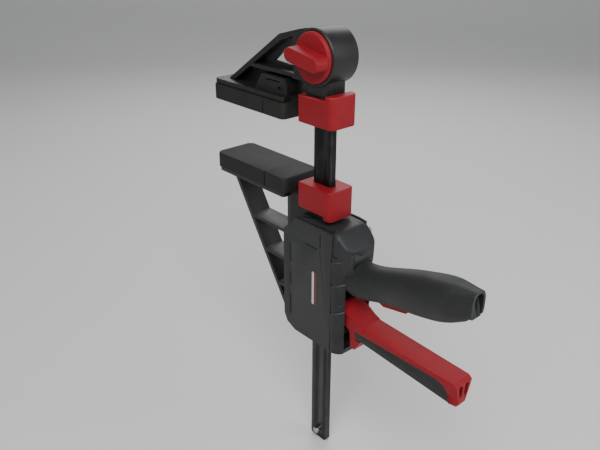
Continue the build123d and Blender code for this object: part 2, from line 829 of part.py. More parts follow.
def rear_grip_part(sign):
    """Rubbery skin on one rear corner with three sloped ridge lines and a finger slot."""
    with BuildPart() as ridges:
        with BuildSketch(side):
            for ridge in ridge_heights:
                with BuildLine():
                    Polyline(
                        (panel_rear, housing_top - ridge),
                        (housing_rear + 4.0, housing_top - ridge + 5.0),
                        (housing_rear + 4.0, housing_top - ridge + 3.4),
                        (panel_rear, housing_top - ridge - 1.6),
                        (panel_rear, housing_top - ridge),
                    )
                make_face()
        extrude(amount=core_width, both=True)
        add(grip_ridge_inner, mode=Mode.SUBTRACT)
    with BuildPart() as grip:
        add(grip_blank)
        add(grip_inner, mode=Mode.SUBTRACT)
        with BuildSketch(level(housing_floor)):
            with Locations((panel_rear + 0.6 + 25.0, sign * (trigger_width / 2 + 1.7 + 25.0))):
                Rectangle(50.0, 50.0)
        extrude(amount=housing_height, mode=Mode.INTERSECT)
        with BuildSketch(level(housing_top - hump_depth - shell_gap)):
            with Locations((housing_rear, 0)):
                Rectangle(2 * (hump_rear - panel_rear), 2 * (hump_half + shell_gap))
        extrude(amount=hump_depth, mode=Mode.SUBTRACT)
        add(ridges.part, mode=Mode.SUBTRACT)
    return grip


rear_grip_left = rear_grip_part(1)
finish(rear_grip_left, "rear_grip_left")
rear_grip_right = rear_grip_part(-1)
finish(rear_grip_right, "rear_grip_right")

# ------------------------------------------------------------------ handle grip and its end cap
with BuildPart() as handle_grip:
    add(handle_loft(grip_stations))
    with BuildSketch(across_handle(root_length)):
        RectangleRounded(tongue_width + 2 * slide_gap, tongue_height + 2 * slide_gap, 2.0)
    extrude(amount=grip_length, mode=Mode.SUBTRACT)
    with BuildSketch(side):
        with BuildLine():
            Polyline(
                along_handle(root_length - 2.0, -6.0),
                along_handle(root_length - 2.0, -22.0),
                along_handle(root_length + 38.0, -22.0),
                along_handle(root_length + 38.0, -6.0),
                along_handle(root_length - 2.0, -6.0),
            )
        make_face()
    extrude(amount=channel_width / 2, both=True, mode=Mode.SUBTRACT)
finish(handle_grip, "handle_grip")

with BuildPart() as handle_end_cap:
    add(handle_loft(cap_stations))
    with BuildSketch(across_handle(grip_end + cap_wall)):
        Ellipse(end_half_width - cap_wall - 1.6, end_half_height - cap_wall - 1.2)
        with Locations((0, -12.0)):
            Rectangle(40.0, 24.0)
    extrude(amount=cap_length, mode=Mode.SUBTRACT)
    with BuildSketch(across_handle(grip_end)):
        RectangleRounded(tongue_width + 2 * slide_gap, tongue_height + 2 * slide_gap, 2.0)
    extrude(amount=cap_wall + 0.5, mode=Mode.SUBTRACT)
finish(handle_end_cap, "handle_end_cap")


# ------------------------------------------------------------------ bar guides
def guide_part(low, height):
    """Plain bearing block for the bar, held in a pocket of the shells."""
    with BuildPart() as guide:
        with BuildSketch(level(low)):
            Rectangle(guide_outer[0], guide_outer[1])
            Rectangle(bar_width + 2 * slide_gap, bar_thickness + 2 * slide_gap, mode=Mode.SUBTRACT)
        extrude(amount=height)
    return guide


bar_guide_top = guide_part(housing_top - guide_lip - guide_top_height, guide_top_height)
finish(bar_guide_top, "bar_guide_top")
bar_guide_bottom = guide_part(housing_floor + guide_lip, guide_low_height)
finish(bar_guide_bottom, "bar_guide_bottom")


# ------------------------------------------------------------------ pivot pins and screws
def pin_part(x, z, radius, half_length):
    """Plain pin across the head at a side-plane point."""
    with BuildPart() as pin:
        with BuildSketch(side):
            with Locations((x, z)):
                Circle(radius)
        extrude(amount=half_length, both=True)
        chamfer(pin.edges(), 0.3)
    return pin


trigger_pivot_pin = pin_part(trigger_x, trigger_z, trigger_pin_radius, cavity_half + 1.5)
finish(trigger_pivot_pin, "trigger_pivot_pin")
brake_pivot_pin = pin_part(plate_front, brake_z, brake_pin_radius, cavity_half + 1.5)
finish(brake_pivot_pin, "brake_pivot_pin")
release_pivot_pin = pin_part(release_x, release_z, release_pin_radius, tongue_width / 2 - 0.5)
finish(release_pivot_pin, "release_pivot_pin")

with BuildPart() as housing_screws:
    with BuildSketch(side_at(core_width / 2)):
        for screw_place in screw_places:
            with Locations(screw_place):
                Circle(screw_radius)
    extrude(amount=core_width - 5.0)
    with BuildSketch(side_at(core_width / 2 + 0.4)):
        for screw_place in screw_places:
            with Locations(screw_place):
                Circle(screw_head)
    extrude(amount=2.4)
    with BuildSketch(side_at(core_width / 2 + 0.4)):
        for screw_place in screw_places:
            with Locations(screw_place):
                Rectangle(3.2, 0.8)
                Rectangle(0.8, 3.2)
    extrude(amount=1.2, mode=Mode.SUBTRACT)
finish(housing_screws, "housing_screws")

with BuildPart() as jaw_screws:
    with BuildSketch(Plane.YZ.offset(bar_x + jaw_spine_front)):
        for screw_z in jaw_screw_heights:
            with Locations((0, screw_z)):
                Circle(jaw_screw_radius)
    extrude(amount=10.0)
    with BuildSketch(Plane.YZ.offset(bar_x + jaw_spine_front)):
        for screw_z in jaw_screw_heights:
            with Locations((0, screw_z)):
                Circle(jaw_screw_radius + 1.6)
    extrude(amount=-1.8)
    with BuildSketch(Plane.YZ.offset(bar_x + jaw_spine_front - 1.8)):
        for screw_z in jaw_screw_heights:
            with Locations((0, screw_z)):
                Rectangle(3.2, 0.8)
                Rectangle(0.8, 3.2)
    extrude(amount=1.0, mode=Mode.SUBTRACT)
finish(jaw_screws, "jaw_screws")

# ------------------------------------------------------------------ trigger with inserts and nose
blade_top = trigger_z - 7.0
blade_start = housing_rear + 15.5
blade_rear = trigger_x + trigger_reach
blade_low = blade_top - 23.0
skirt_low = blade_top - 21.0
insert_depth = 1.4
insert_gap = 0.2
tang_height = 4.0
root_half = trigger_width / 2
tip_half = trigger_tip_width / 2


def blade_band(sign, inner, outer):
    """Upright strip along one tapered side of the blade, between two depths below its surface."""
    with BuildPart() as band:
        with BuildSketch(level(blade_low - 2.0)):
            with BuildLine():
                Polyline(
                    (housing_rear + 8.0, sign * (root_half - inner)),
                    (blade_start, sign * (root_half - inner)),
                    (blade_rear + 1.0, sign * (tip_half - inner)),
                    (blade_rear + 1.0, sign * (tip_half - outer)),
                    (blade_start, sign * (root_half - outer)),
                    (housing_rear + 8.0, sign * (root_half - outer)),
                    (housing_rear + 8.0, sign * (root_half - inner)),
                )
            make_face()
        extrude(amount=blade_top - blade_low + 4.0)
    return band.part


def insert_block(inset, drop):
    """Side outline of an insert through the whole blade: pulled in by inset, its foot lowered by drop."""
    with BuildPart() as block:
        with BuildSketch(side):
            with BuildLine():
                Polyline(
                    (housing_rear + 10.0 + inset, blade_top - 3.4 - inset),
                    (blade_rear - 20.0, blade_top - 4.2 - inset),
                    (blade_rear - 12.0 - inset, blade_top - 6.4 - inset),
                    (blade_rear - 7.5 - inset, blade_top - 11.0),
                    (blade_rear - 5.5 - inset, blade_top - 19.2 - drop),
                    (housing_rear + 17.0, blade_top - 10.6 - drop),
                    (housing_rear + 12.0, blade_top - 10.6 - drop),
                    (housing_rear + 10.0 + inset, blade_top - 3.4 - inset),
                )
            make_face()
        extrude(amount=trigger_width, both=True)
    return block.part


recess_block = insert_block(0, 1.0)
with BuildPart() as trigger:
    with BuildSketch(side):
        with BuildLine():
            Polyline(
                (housing_rear + 5.5, trigger_z + 5.0),
                (housing_rear + 9.0, trigger_z + 5.0),
                (housing_rear + 11.5, trigger_z - 0.5),
                (housing_rear + 17.0, blade_top + 1.2),
                (blade_rear - 3.0, blade_top - 0.6),
                (blade_rear, blade_top - 3.0),
                (blade_rear, blade_low + 2.5),
                (blade_rear - 2.0, blade_low),
                (blade_rear - 5.5, blade_top - 19.2),
                (housing_rear + 17.0, blade_top - 10.6),
                (housing_rear + 11.0, skirt_low),
                (housing_rear + 6.5, skirt_low),
                (housing_rear + 4.5, blade_top - 5.0),
                (trigger_x, trigger_z - 7.0),
                (trigger_x, trigger_z + 7.0),
                (housing_rear + 5.5, trigger_z + 4.0),
                (housing_rear + 5.5, trigger_z + 5.0),
            )
        make_face()
    extrude(amount=trigger_width / 2, both=True)
    fillet(trigger.edges().filter_by(Axis.Y).sort_by(Axis.X)[-2:], 1.5)
    # sides that draw in towards the tip
    add(blade_band(1, tip_half - root_half - 1.0, 0), mode=Mode.SUBTRACT)
    add(blade_band(-1, tip_half - root_half - 1.0, 0), mode=Mode.SUBTRACT)
    with BuildSketch(side):
        with Locations((trigger_x, trigger_z)):
            Circle(7.0)
        with BuildLine():
            Polyline(
                (nose_x + 3.4, trigger_z + 3.5),
                (trigger_x, trigger_z + 5.0),
                (trigger_x, trigger_z - 3.0),
                (nose_x + 3.4, trigger_z - 3.0),
                (nose_x + 3.4, trigger_z + 3.5),
            )
        make_face()
    extrude(amount=7.0, both=True)
    with BuildSketch(side):
        with Locations((trigger_x, trigger_z)):
            Circle(trigger_pin_radius + running_gap)
        with Locations((nose_x + 5.0, trigger_z)):
            Rectangle(6.0, tang_height + 2 * slide_gap)
    extrude(amount=trigger_width, both=True, mode=Mode.SUBTRACT)
    # shallow recesses for the side inserts and the hollow tip
    add(recess_block & blade_band(1, -1.0, insert_depth), mode=Mode.SUBTRACT)
    add(recess_block & blade_band(-1, -1.0, insert_depth), mode=Mode.SUBTRACT)
    with BuildSketch(Plane.YZ.offset(bar_x + blade_rear)):
        with Locations((-3.6, blade_top - 9.2), (3.6, blade_top - 9.2)):
            RectangleRounded(4.6, 11.0, 1.5)
    extrude(amount=-8.0, mode=Mode.SUBTRACT)
finish(trigger, "trigger")

strip_block = insert_block(insert_gap, -insert_gap)
with BuildPart() as trigger_insert_left:
    add(strip_block & blade_band(1, insert_gap, insert_depth))
finish(trigger_insert_left, "trigger_insert_left")
with BuildPart() as trigger_insert_right:
    add(strip_block & blade_band(-1, insert_gap, insert_depth))
finish(trigger_insert_right, "trigger_insert_right")

with BuildPart() as trigger_nose:
    with BuildSketch(side):
        with Locations((nose_x, trigger_z)):
            Circle(nose_radius)
        with Locations((nose_x + 4.0, trigger_z)):
            Rectangle(7.8, tang_height)
    extrude(amount=6.0, both=True)
finish(trigger_nose, "trigger_nose")

# ------------------------------------------------------------------ drive plate, brake plate and springs
with BuildPart() as drive_plate:
    with BuildSketch(level(drive_top - plate_thickness)):
        with Locations(((plate_front + drive_rear) / 2, 0)):
            RectangleRounded(drive_rear - plate_front, plate_width, 2.0)
        Rectangle(bar_width + 0.6, bar_thickness + 0.6, mode=Mode.SUBTRACT)
    extrude(amount=plate_thickness)
finish(drive_plate, "drive_plate")

with BuildPart() as brake_plate:
    with BuildSketch(side):
        with BuildLine():
            Polyline(
                (plate_front, brake_z - plate_thickness / 2),
                (plate_front, brake_z + plate_thickness / 2),
                (brake_rear, brake_rear_z),
                (brake_rear, brake_rear_z - plate_thickness),
                (plate_front, brake_z - plate_thickness / 2),
            )
        make_face()
        with Locations((plate_front, brake_z)):
            Circle(brake_pin_radius + 1.6)
            Circle(brake_pin_radius + running_gap, mode=Mode.SUBTRACT)
    extrude(amount=plate_width / 2, both=True)
    with BuildSketch(level(brake_z - 5.0)):
        Rectangle(bar_width + 1.6, bar_thickness + 0.8)
    extrude(amount=14.0, mode=Mode.SUBTRACT)
finish(brake_plate, "brake_plate")

drive_spring = coil_part(
    bar_x, 12.8, 1.4, cavity_floor + 0.02, drive_top - plate_thickness - 0.02, 3.5
)
finish(drive_spring, "drive_spring")

brake_spring_top = brake_z + (brake_spring_x - 3.6 - plate_front) * brake_slope - plate_thickness / 2
brake_spring = coil_part(
    bar_x + brake_spring_x, 3.0, 0.9, spring_shelf + 0.02, brake_spring_top - 0.1, 4.5
)
finish(brake_spring, "brake_spring")
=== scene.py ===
"""Looks of a one-hand bar clamp.

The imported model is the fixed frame: every piece below is dressed over it, in metres, and rides on
one of its bodies. Lengths that describe the clamp are written in millimetres and scaled by MM.
"""
from __future__ import annotations

import logging
from collections.abc import Sequence
from dataclasses import dataclass
from enum import Enum
from math import cos, pi, radians, sin, tan

import bmesh
import bpy
import numpy as np
from mathutils import Matrix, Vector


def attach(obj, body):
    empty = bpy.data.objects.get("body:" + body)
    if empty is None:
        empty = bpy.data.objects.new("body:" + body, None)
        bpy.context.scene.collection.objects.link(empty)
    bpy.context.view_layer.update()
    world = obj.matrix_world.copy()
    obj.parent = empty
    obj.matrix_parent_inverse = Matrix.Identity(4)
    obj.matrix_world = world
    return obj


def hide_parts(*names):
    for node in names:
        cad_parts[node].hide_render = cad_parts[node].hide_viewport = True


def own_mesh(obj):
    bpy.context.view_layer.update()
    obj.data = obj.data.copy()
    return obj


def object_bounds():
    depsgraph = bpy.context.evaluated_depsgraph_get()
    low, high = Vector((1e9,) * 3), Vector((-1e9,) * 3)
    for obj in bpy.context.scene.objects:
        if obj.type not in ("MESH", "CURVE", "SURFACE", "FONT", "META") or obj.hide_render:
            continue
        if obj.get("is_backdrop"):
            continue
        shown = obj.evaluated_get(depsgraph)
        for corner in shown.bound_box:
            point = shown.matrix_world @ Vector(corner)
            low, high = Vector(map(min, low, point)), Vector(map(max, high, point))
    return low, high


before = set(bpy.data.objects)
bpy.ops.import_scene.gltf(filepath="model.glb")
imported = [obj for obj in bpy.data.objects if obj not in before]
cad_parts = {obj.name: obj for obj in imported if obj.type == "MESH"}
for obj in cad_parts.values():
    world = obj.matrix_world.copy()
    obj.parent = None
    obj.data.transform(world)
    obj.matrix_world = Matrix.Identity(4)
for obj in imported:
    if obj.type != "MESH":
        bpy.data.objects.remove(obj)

LOG = logging.getLogger("clamp")
MM = 0.001
BAR_X = 73.5

Triple = tuple[float, float, float]
Colour = tuple[float, float, float]
Floats = np.ndarray
Piece = bpy.types.Object
Finish = bpy.types.Material
Row = tuple[str, str, float, int, Finish, Finish]


class Body(str, Enum):
    """Rigid bodies that pieces ride on."""

    FRAME = "bar_frame"
    KNOB = "lock_knob"
    PIN = "lock_pin"
    HEAD = "head"
    TRIGGER = "trigger"
    DRIVE = "drive_plate"
    BRAKE = "brake_plate"
    RELEASE = "release_lever"


# ------------------------------------------------------------------ shader graph


class Signal:
    """One output socket; arithmetic on it adds Math nodes to its graph."""

    def __init__(self, graph: Graph, socket: bpy.types.NodeSocket) -> None:
        """Keeps the graph and the socket.

        Args:
            graph: graph that new nodes are added to.
            socket: the wrapped output.
        """
        self.graph = graph
        self.socket = socket

    def _math(self, operation: str, *terms: Signal | float, clamp: bool = False) -> Signal:
        """Adds one Math node.

        Args:
            operation: name of the Math operation.
            terms: its inputs in order.
            clamp: whether the result is held between 0 and 1.

        Returns:
            The node's result.
        """
        settings = {"operation": operation, "use_clamp": clamp}
        return self.graph.node("ShaderNodeMath", settings, dict(enumerate(terms)))

    def __add__(self, other: Signal | float) -> Signal:
        """Sum with another signal or number."""
        return self._math("ADD", self, other)

    __radd__ = __add__

    def __sub__(self, other: Signal | float) -> Signal:
        """Difference with another signal or number."""
        return self._math("SUBTRACT", self, other)

    def __rsub__(self, other: float) -> Signal:
        """A number minus this signal."""
        return self._math("SUBTRACT", other, self)

    def __mul__(self, other: Signal | float) -> Signal:
        """Product with another signal or number."""
        return self._math("MULTIPLY", self, other)

    __rmul__ = __mul__

    def above(self, low: float, high: float) -> Signal:
        """Ramp from 0 at low to 1 at high, held outside.

        Args:
            low: value that gives 0.
            high: value that gives 1.

        Returns:
            The ramped signal.
        """
        return self._math("MULTIPLY", self - low, 1.0 / (high - low), clamp=True)


class Graph:
    """Node tree of one material around a Principled shader."""

    def __init__(self, name: str) -> None:
        """Makes an empty material with its shader.

        Args:
            name: the material's name.
        """
        self.material = bpy.data.materials.new(name)
        self.material.use_nodes = True
        self.tree = self.material.node_tree
        self.shader = next(n for n in self.tree.nodes if n.type == "BSDF_PRINCIPLED")

    def node(
        self,
        kind: str,
        settings: dict[str, object] | None = None,
        inputs: dict[str | int, object] | None = None,
        output: str | int = 0,
    ) -> Signal:
        """Adds a node, sets it up and joins its inputs.

        Args:
            kind: the node's type.
            settings: attributes set before the inputs.
            inputs: values or signals by socket name or number.
            output: which output is returned.

        Returns:
            The chosen output.
        """
        node = self.tree.nodes.new(kind)
        for key, value in (settings or {}).items():
            setattr(node, key, value)
        for key, value in (inputs or {}).items():
            self.join(value, node.inputs[key])
        return Signal(self, node.outputs[output])

    def join(self, value: object, socket: bpy.types.NodeSocket) -> None:
        """Links a signal to a socket, or sets a plain value on it.

        Args:
            value: a signal, number, colour or vector.
            socket: the input.
        """
        if isinstance(value, Signal):
            self.tree.links.new(value.socket, socket)
        elif isinstance(value, tuple) and socket.type == "RGBA":
            socket.default_value = (*value, 1.0)
        else:
            socket.default_value = value

    def place(self, stretch: Triple = (1.0, 1.0, 1.0)) -> Signal:
        """Object coordinates in metres, squeezed per axis.

        Args:
            stretch: factor on X, Y and Z.

        Returns:
            The vector.
        """
        coordinates = self.node("ShaderNodeTexCoord", output="Object")
        inputs = {"Vector": coordinates, "Scale": stretch}
        return self.node("ShaderNodeMapping", {"vector_type": "POINT"}, inputs)

    def noise(self, grain: float, detail: float = 3.0, stretch: Triple = (1.0, 1.0, 1.0)) -> Signal:
        """Cloud noise between 0 and 1.

        Args:
            grain: size of its blotches in millimetres.
            detail: number of finer layers.
            stretch: squeeze per axis, below 1 for streaks along that axis.

        Returns:
            The noise value.
        """
        inputs = {
            "Vector": self.place(stretch),
            "Scale": 1.0 / (grain * MM),
            "Detail": detail,
            "Roughness": 0.55,
        }
        return self.node("ShaderNodeTexNoise", {"noise_dimensions": "3D"}, inputs, "Fac")

    def pebbles(self, grain: float) -> Signal:
        """Distance to the nearest of many scattered points, 0 at each point.

        Args:
            grain: spacing of the points in millimetres.

        Returns:
            The distance in units of the spacing.
        """
        inputs = {"Vector": self.place(), "Scale": 1.0 / (grain * MM)}
        return self.node("ShaderNodeTexVoronoi", {"feature": "F1"}, inputs, "Distance")

    def blend(self, amount: Signal, first: Colour | Signal, second: Colour | Signal) -> Signal:
        """Colour between two, by an amount from 0 to 1.

        Args:
            amount: share of the second colour.
            first: colour at 0.
            second: colour at 1.

        Returns:
            The mixed colour.
        """
        node = self.tree.nodes.new("ShaderNodeMix")
        node.data_type = "RGBA"
        self.join(amount, node.inputs[0])
        self.join(first, node.inputs[6])
        self.join(second, node.inputs[7])
        return Signal(self, node.outputs[2])

    def relief(self, height: Signal, depth: float) -> Signal:
        """Bump normal from a height between 0 and 1.

        Args:
            height: the height field.
            depth: how deep the whole range is, in millimetres.

        Returns:
            The bent normal.
        """
        inputs = {"Strength": 1.0, "Distance": depth * MM, "Height": height}
        return self.node("ShaderNodeBump", None, inputs, "Normal")

    def finish(self, **sockets: object) -> Finish:
        """Joins values to the shader, with underscores for the spaces in socket names.

        Args:
            sockets: shader inputs by name.

        Returns:
            The finished material.
        """
        for key, value in sockets.items():
            self.join(value, self.shader.inputs[key.replace("_", " ")])
        return self.material


# ------------------------------------------------------------------ finishes


@dataclass(frozen=True)
class MouldedPlastic:
    """Spark-eroded moulded plastic: fine grain, soft blotches, rubbed and dusty patches.

    Height is 0.7 of fine noise plus 0.3 of pebbles; colour goes from base to rubbed where broad
    noise is high, then towards dust in thin patches.
    """

    name: str
    base: Colour
    rubbed: Colour
    dust: Colour
    roughness: float
    grain: float
    depth: float
    specular: float = 0.5
    coat: float = 0.0

    def material(self) -> Finish:
        """Builds the node graph.

        Returns:
            The finished material.
        """
        graph = Graph(self.name)
        fine = graph.noise(self.grain, 2.0)
        pebbles = graph.pebbles(self.grain * 1.7)
        broad = graph.noise(14.0, 4.0)
        patches = graph.noise(5.0, 6.0)
        streaks = graph.noise(1.1, 4.0, (1.0, 1.0, 0.12))
        rub = broad.above(0.42, 0.72) * 0.55 + fine * 0.25
        colour = graph.blend(rub, self.base, self.rubbed)
        dusty = patches.above(0.58, 0.8) * 0.3 + streaks.above(0.66, 0.8) * 0.18
        colour = graph.blend(dusty, colour, self.dust)
        rough = self.roughness + (broad - 0.5) * 0.14 + (patches - 0.5) * 0.1
        rough = rough - streaks.above(0.62, 0.8) * 0.06
        height = fine * 0.7 + pebbles * 0.3 + streaks.above(0.68, 0.8) * -0.15
        return graph.finish(
            Base_Color=colour,
            Roughness=rough,
            Normal=graph.relief(height, self.depth),
            Specular_IOR_Level=self.specular,
            Coat_Weight=self.coat,
            Coat_Roughness=0.25,
        )


@dataclass(frozen=True)
class SoftRubber:
    """Soft overmoulded rubber: pebbled skin that shines a little where hands polish it."""

    name: str
    base: Colour
    polished: Colour
    roughness: float
    pebble: float
    depth: float

    def material(self) -> Finish:
        """Builds the node graph.

        Returns:
            The finished material.
        """
        graph = Graph(self.name)
        pebbles = graph.pebbles(self.pebble)
        fine = graph.noise(0.35, 2.0)
        broad = graph.noise(22.0, 3.0)
        lint = graph.noise(2.2, 7.0)
        wear = broad.above(0.4, 0.7)
        colour = graph.blend(wear * 0.7 + fine * 0.2, self.base, self.polished)
        colour = graph.blend(lint.above(0.62, 0.78) * 0.16, colour, (0.09, 0.09, 0.087))
        rough = self.roughness - wear * 0.12 + (lint - 0.5) * 0.1
        height = pebbles.above(0.05, 0.75) * 0.8 + fine * 0.2
        return graph.finish(
            Base_Color=colour,
            Roughness=rough,
            Normal=graph.relief(height, self.depth),
            Specular_IOR_Level=0.4,
            Sheen_Weight=0.06,
            Sheen_Roughness=0.5,
        )


@dataclass(frozen=True)
class RolledSteel:
    """Rolled or drawn steel: fine lines along one axis, light scratches and darker heat stains."""

    name: str
    base: Colour
    bright: Colour
    roughness: float
    lines: Triple
    metallic: float = 1.0
    depth: float = 0.03

    def material(self) -> Finish:
        """Builds the node graph.

        Returns:
            The finished material.
        """
        graph = Graph(self.name)
        lines = graph.noise(0.5, 5.0, self.lines)
        broad = graph.noise(18.0, 4.0)
        scratches = graph.noise(1.6, 8.0, self.lines).above(0.62, 0.72)
        wear = broad.above(0.5, 0.75) * 0.35 + lines.above(0.45, 0.7) * 0.3 + scratches * 0.35
        colour = graph.blend(wear, self.base, self.bright)
        rough = self.roughness + (lines - 0.5) * 0.2 + (broad - 0.5) * 0.15 - scratches * 0.08
        return graph.finish(
            Base_Color=colour,
            Roughness=rough,
            Metallic=self.metallic,
            Normal=graph.relief(lines * 0.8 - scratches * 0.2, self.depth),
        )


@dataclass(frozen=True)
class StudioPaper:
    """Pale seamless paper under the object."""

    name: str
    tone: Colour

    def material(self) -> Finish:
        """Builds the node graph.

        Returns:
            The finished material.
        """
        graph = Graph(self.name)
        cloud = graph.noise(180.0, 2.0)
        colour = graph.blend(cloud, self.tone, tuple(0.97 * c for c in self.tone))
        return graph.finish(Base_Color=colour, Roughness=0.9)


@dataclass(frozen=True)
class PaintedMark:
    """Thin printed paint with a slightly broken edge."""

    name: str
    tone: Colour
    faded: Colour

    def material(self) -> Finish:
        """Builds the node graph.

        Returns:
            The finished material.
        """
        graph = Graph(self.name)
        wear = graph.noise(0.8, 5.0)
        colour = graph.blend(wear.above(0.5, 0.75) * 0.5, self.tone, self.faded)
        return graph.finish(Base_Color=colour, Roughness=0.45 + wear * 0.15)


class Finishes:
    """All finishes of the clamp, each made once."""

    def __init__(self) -> None:
        """Builds every material."""
        self.housing = MouldedPlastic(
            "housing_charcoal",
            base=(0.0165, 0.0172, 0.0188),
            rubbed=(0.024, 0.0248, 0.027),
            dust=(0.055, 0.055, 0.056),
            roughness=0.5, grain=0.4, depth=0.05, specular=0.4,
        ).material()
        # Paler copy of the housing finish for its rounded edge strips: painted highlight along the edges.
        self.housing_edge_highlight = MouldedPlastic(
            "housing_edge_highlight",
            base=(0.024, 0.0248, 0.0265),
            rubbed=(0.034, 0.035, 0.037),
            dust=(0.07, 0.07, 0.07),
            roughness=0.42, grain=0.4, depth=0.02, specular=0.4,
        ).material()
        self.jaw = MouldedPlastic(
            "jaw_black",
            base=(0.0115, 0.0112, 0.0108),
            rubbed=(0.018, 0.0176, 0.017),
            dust=(0.05, 0.048, 0.045),
            roughness=0.44, grain=0.45, depth=0.04, specular=0.4,
        ).material()
        # Paler copy of the jaw finish for its rounded edge strips: painted highlight along the edges.
        self.jaw_edge_highlight = MouldedPlastic(
            "jaw_edge_highlight",
            base=(0.026, 0.0255, 0.025),
            rubbed=(0.04, 0.039, 0.038),
            dust=(0.075, 0.074, 0.072),
            roughness=0.36, grain=0.45, depth=0.02, specular=0.4,
        ).material()
        self.pad = MouldedPlastic(
            "pad_rubber",
            base=(0.0145, 0.0143, 0.0138),
            rubbed=(0.022, 0.0217, 0.021),
            dust=(0.06, 0.057, 0.052),
            roughness=0.68, grain=0.5, depth=0.06, specular=0.3,
        ).material()
        # Paler copy of the pad finish for its rounded edge strips: painted highlight along the edges.
        self.pad_edge_highlight = MouldedPlastic(
            "pad_edge_highlight",
            base=(0.019, 0.0188, 0.0183),
            rubbed=(0.028, 0.0277, 0.027),
            dust=(0.065, 0.062, 0.057),
            roughness=0.6, grain=0.5, depth=0.04, specular=0.3,
        ).material()
        self.grip = SoftRubber(
            "grip_rubber",
            base=(0.0115, 0.0125, 0.0126),
            polished=(0.0165, 0.0176, 0.018),
            roughness=0.62, pebble=1.0, depth=0.07,
        ).material()
        # Paler copy of the grip rubber for its rounded edge strips: painted highlight along the edges.
        self.grip_edge_highlight = SoftRubber(
            "grip_edge_highlight",
            base=(0.022, 0.0232, 0.0235),
            polished=(0.033, 0.0345, 0.035),
            roughness=0.5, pebble=1.0, depth=0.03,
        ).material()
        # Paler rubber for the upward faces of the rear grips' ridges: painted highlight where the top
        # light falls.
        self.ridge = SoftRubber(
            "ridge_top_highlight",
            base=(0.04, 0.042, 0.0425),
            polished=(0.058, 0.06, 0.061),
            roughness=0.5, pebble=0.8, depth=0.03,
        ).material()
        self.red = MouldedPlastic(
            "guard_red",
            base=(0.245, 0.0095, 0.0155),
            rubbed=(0.295, 0.0135, 0.0205),
            dust=(0.32, 0.05, 0.055),
            roughness=0.5, grain=0.45, depth=0.03, specular=0.2,
        ).material()
        # Paler copy of the red finish for its rounded edge strips: painted highlight along the edges.
        self.red_edge_highlight = MouldedPlastic(
            "red_edge_highlight",
            base=(0.295, 0.014, 0.021),
            rubbed=(0.345, 0.023, 0.031),
            dust=(0.35, 0.08, 0.08),
            roughness=0.42, grain=0.45, depth=0.015, specular=0.3,
        ).material()
        self.bar = RolledSteel(
            "bar_blackened",
            base=(0.014, 0.0138, 0.0132),
            bright=(0.055, 0.054, 0.052),
            lines=(1.0, 1.0, 0.03),
            roughness=0.36, metallic=0.7,
        ).material()
        # Brighter copy of the bar finish for its rounded edge strips: painted highlight along the edges.
        self.bar_edge_highlight = RolledSteel(
            "bar_edge_highlight",
            base=(0.045, 0.0445, 0.043),
            bright=(0.19, 0.186, 0.18),
            lines=(1.0, 1.0, 0.03),
            roughness=0.3, metallic=0.85,
        ).material()
        self.steel = RolledSteel(
            "zinc_steel",
            base=(0.36, 0.36, 0.37),
            bright=(0.6, 0.6, 0.61),
            lines=(1.0, 0.08, 1.0),
            roughness=0.3,
        ).material()
        self.plate = RolledSteel(
            "hardened_plate",
            base=(0.14, 0.135, 0.13),
            bright=(0.32, 0.31, 0.3),
            lines=(0.06, 1.0, 1.0),
            roughness=0.36,
        ).material()
        self.spring = RolledSteel(
            "spring_wire",
            base=(0.26, 0.26, 0.26),
            bright=(0.5, 0.5, 0.51),
            lines=(0.4, 0.4, 1.0),
            roughness=0.28,
        ).material()
        self.guide = MouldedPlastic(
            "guide_nylon",
            base=(0.05, 0.05, 0.048),
            rubbed=(0.07, 0.07, 0.068),
            dust=(0.1, 0.1, 0.096),
            roughness=0.45, grain=0.5, depth=0.02,
        ).material()
        self.white_mark = PaintedMark(
            "mark_white",
            tone=(0.55, 0.55, 0.53),
            faded=(0.36, 0.36, 0.35),
        ).material()
        self.red_mark = PaintedMark(
            "mark_red",
            tone=(0.3, 0.018, 0.024),
            faded=(0.14, 0.015, 0.019),
        ).material()
        self.paper = StudioPaper(
            "studio_paper",
            tone=(0.72, 0.72, 0.71),
        ).material()


# ------------------------------------------------------------------ meshes


def natural_spline(knots: Sequence[float], values: Sequence[float], at: Floats) -> Floats:
    """Natural cubic spline through knots.

    The second derivatives m solve the tridiagonal system h0 m0 + 2 (h0 + h1) m1 + h1 m2 =
    6 (slope1 - slope0), with zero at both ends.

    Args:
        knots: rising places.
        values: value at each place.
        at: where to read the spline.

    Returns:
        The values there.
    """
    x, y = np.asarray(knots, float), np.asarray(values, float)
    h = np.diff(x)
    slope = np.diff(y) / h
    system = np.eye(len(x))
    right = np.zeros(len(x))
    inner = np.arange(1, len(x) - 1)
    system[inner, inner - 1] = h[:-1]
    system[inner, inner] = 2 * (h[:-1] + h[1:])
    system[inner, inner + 1] = h[1:]
    right[inner] = 6 * np.diff(slope)
    m = np.linalg.solve(system, right)
    i = np.clip(np.searchsorted(x, at) - 1, 0, len(h) - 1)
    left, after = at - x[i], x[i + 1] - at
    curved = (m[i] * after**3 + m[i + 1] * left**3) / (6 * h[i])
    before_part = (y[i] / h[i] - m[i] * h[i] / 6) * after
    return curved + before_part + (y[i + 1] / h[i] - m[i + 1] * h[i] / 6) * left


def signed_power(value: Floats, power: float) -> Floats:
    """Power of the size of a value, with its sign kept."""
    return np.sign(value) * np.abs(value) ** power


def outward(points: Floats, faces: list[tuple[int, ...]]) -> list[tuple[int, ...]]:
    """Turns the faces of a closed surface outwards when its signed volume is negative.

    The volume is a sixth of the sum of a . (b x c) over fans of triangles.

    Args:
        points: corner points.
        faces: corner numbers of each face.

    Returns:
        The faces, turned when needed.
    """
    fans = [(f[0], f[i], f[i + 1]) for f in faces for i in range(1, len(f) - 1)]
    a, b, c = points[np.array(fans).T]
    volume = np.einsum("ij,ij->i", a, np.cross(b, c)).sum() / 6
    return faces if volume > 0 else [tuple(reversed(f)) for f in faces]


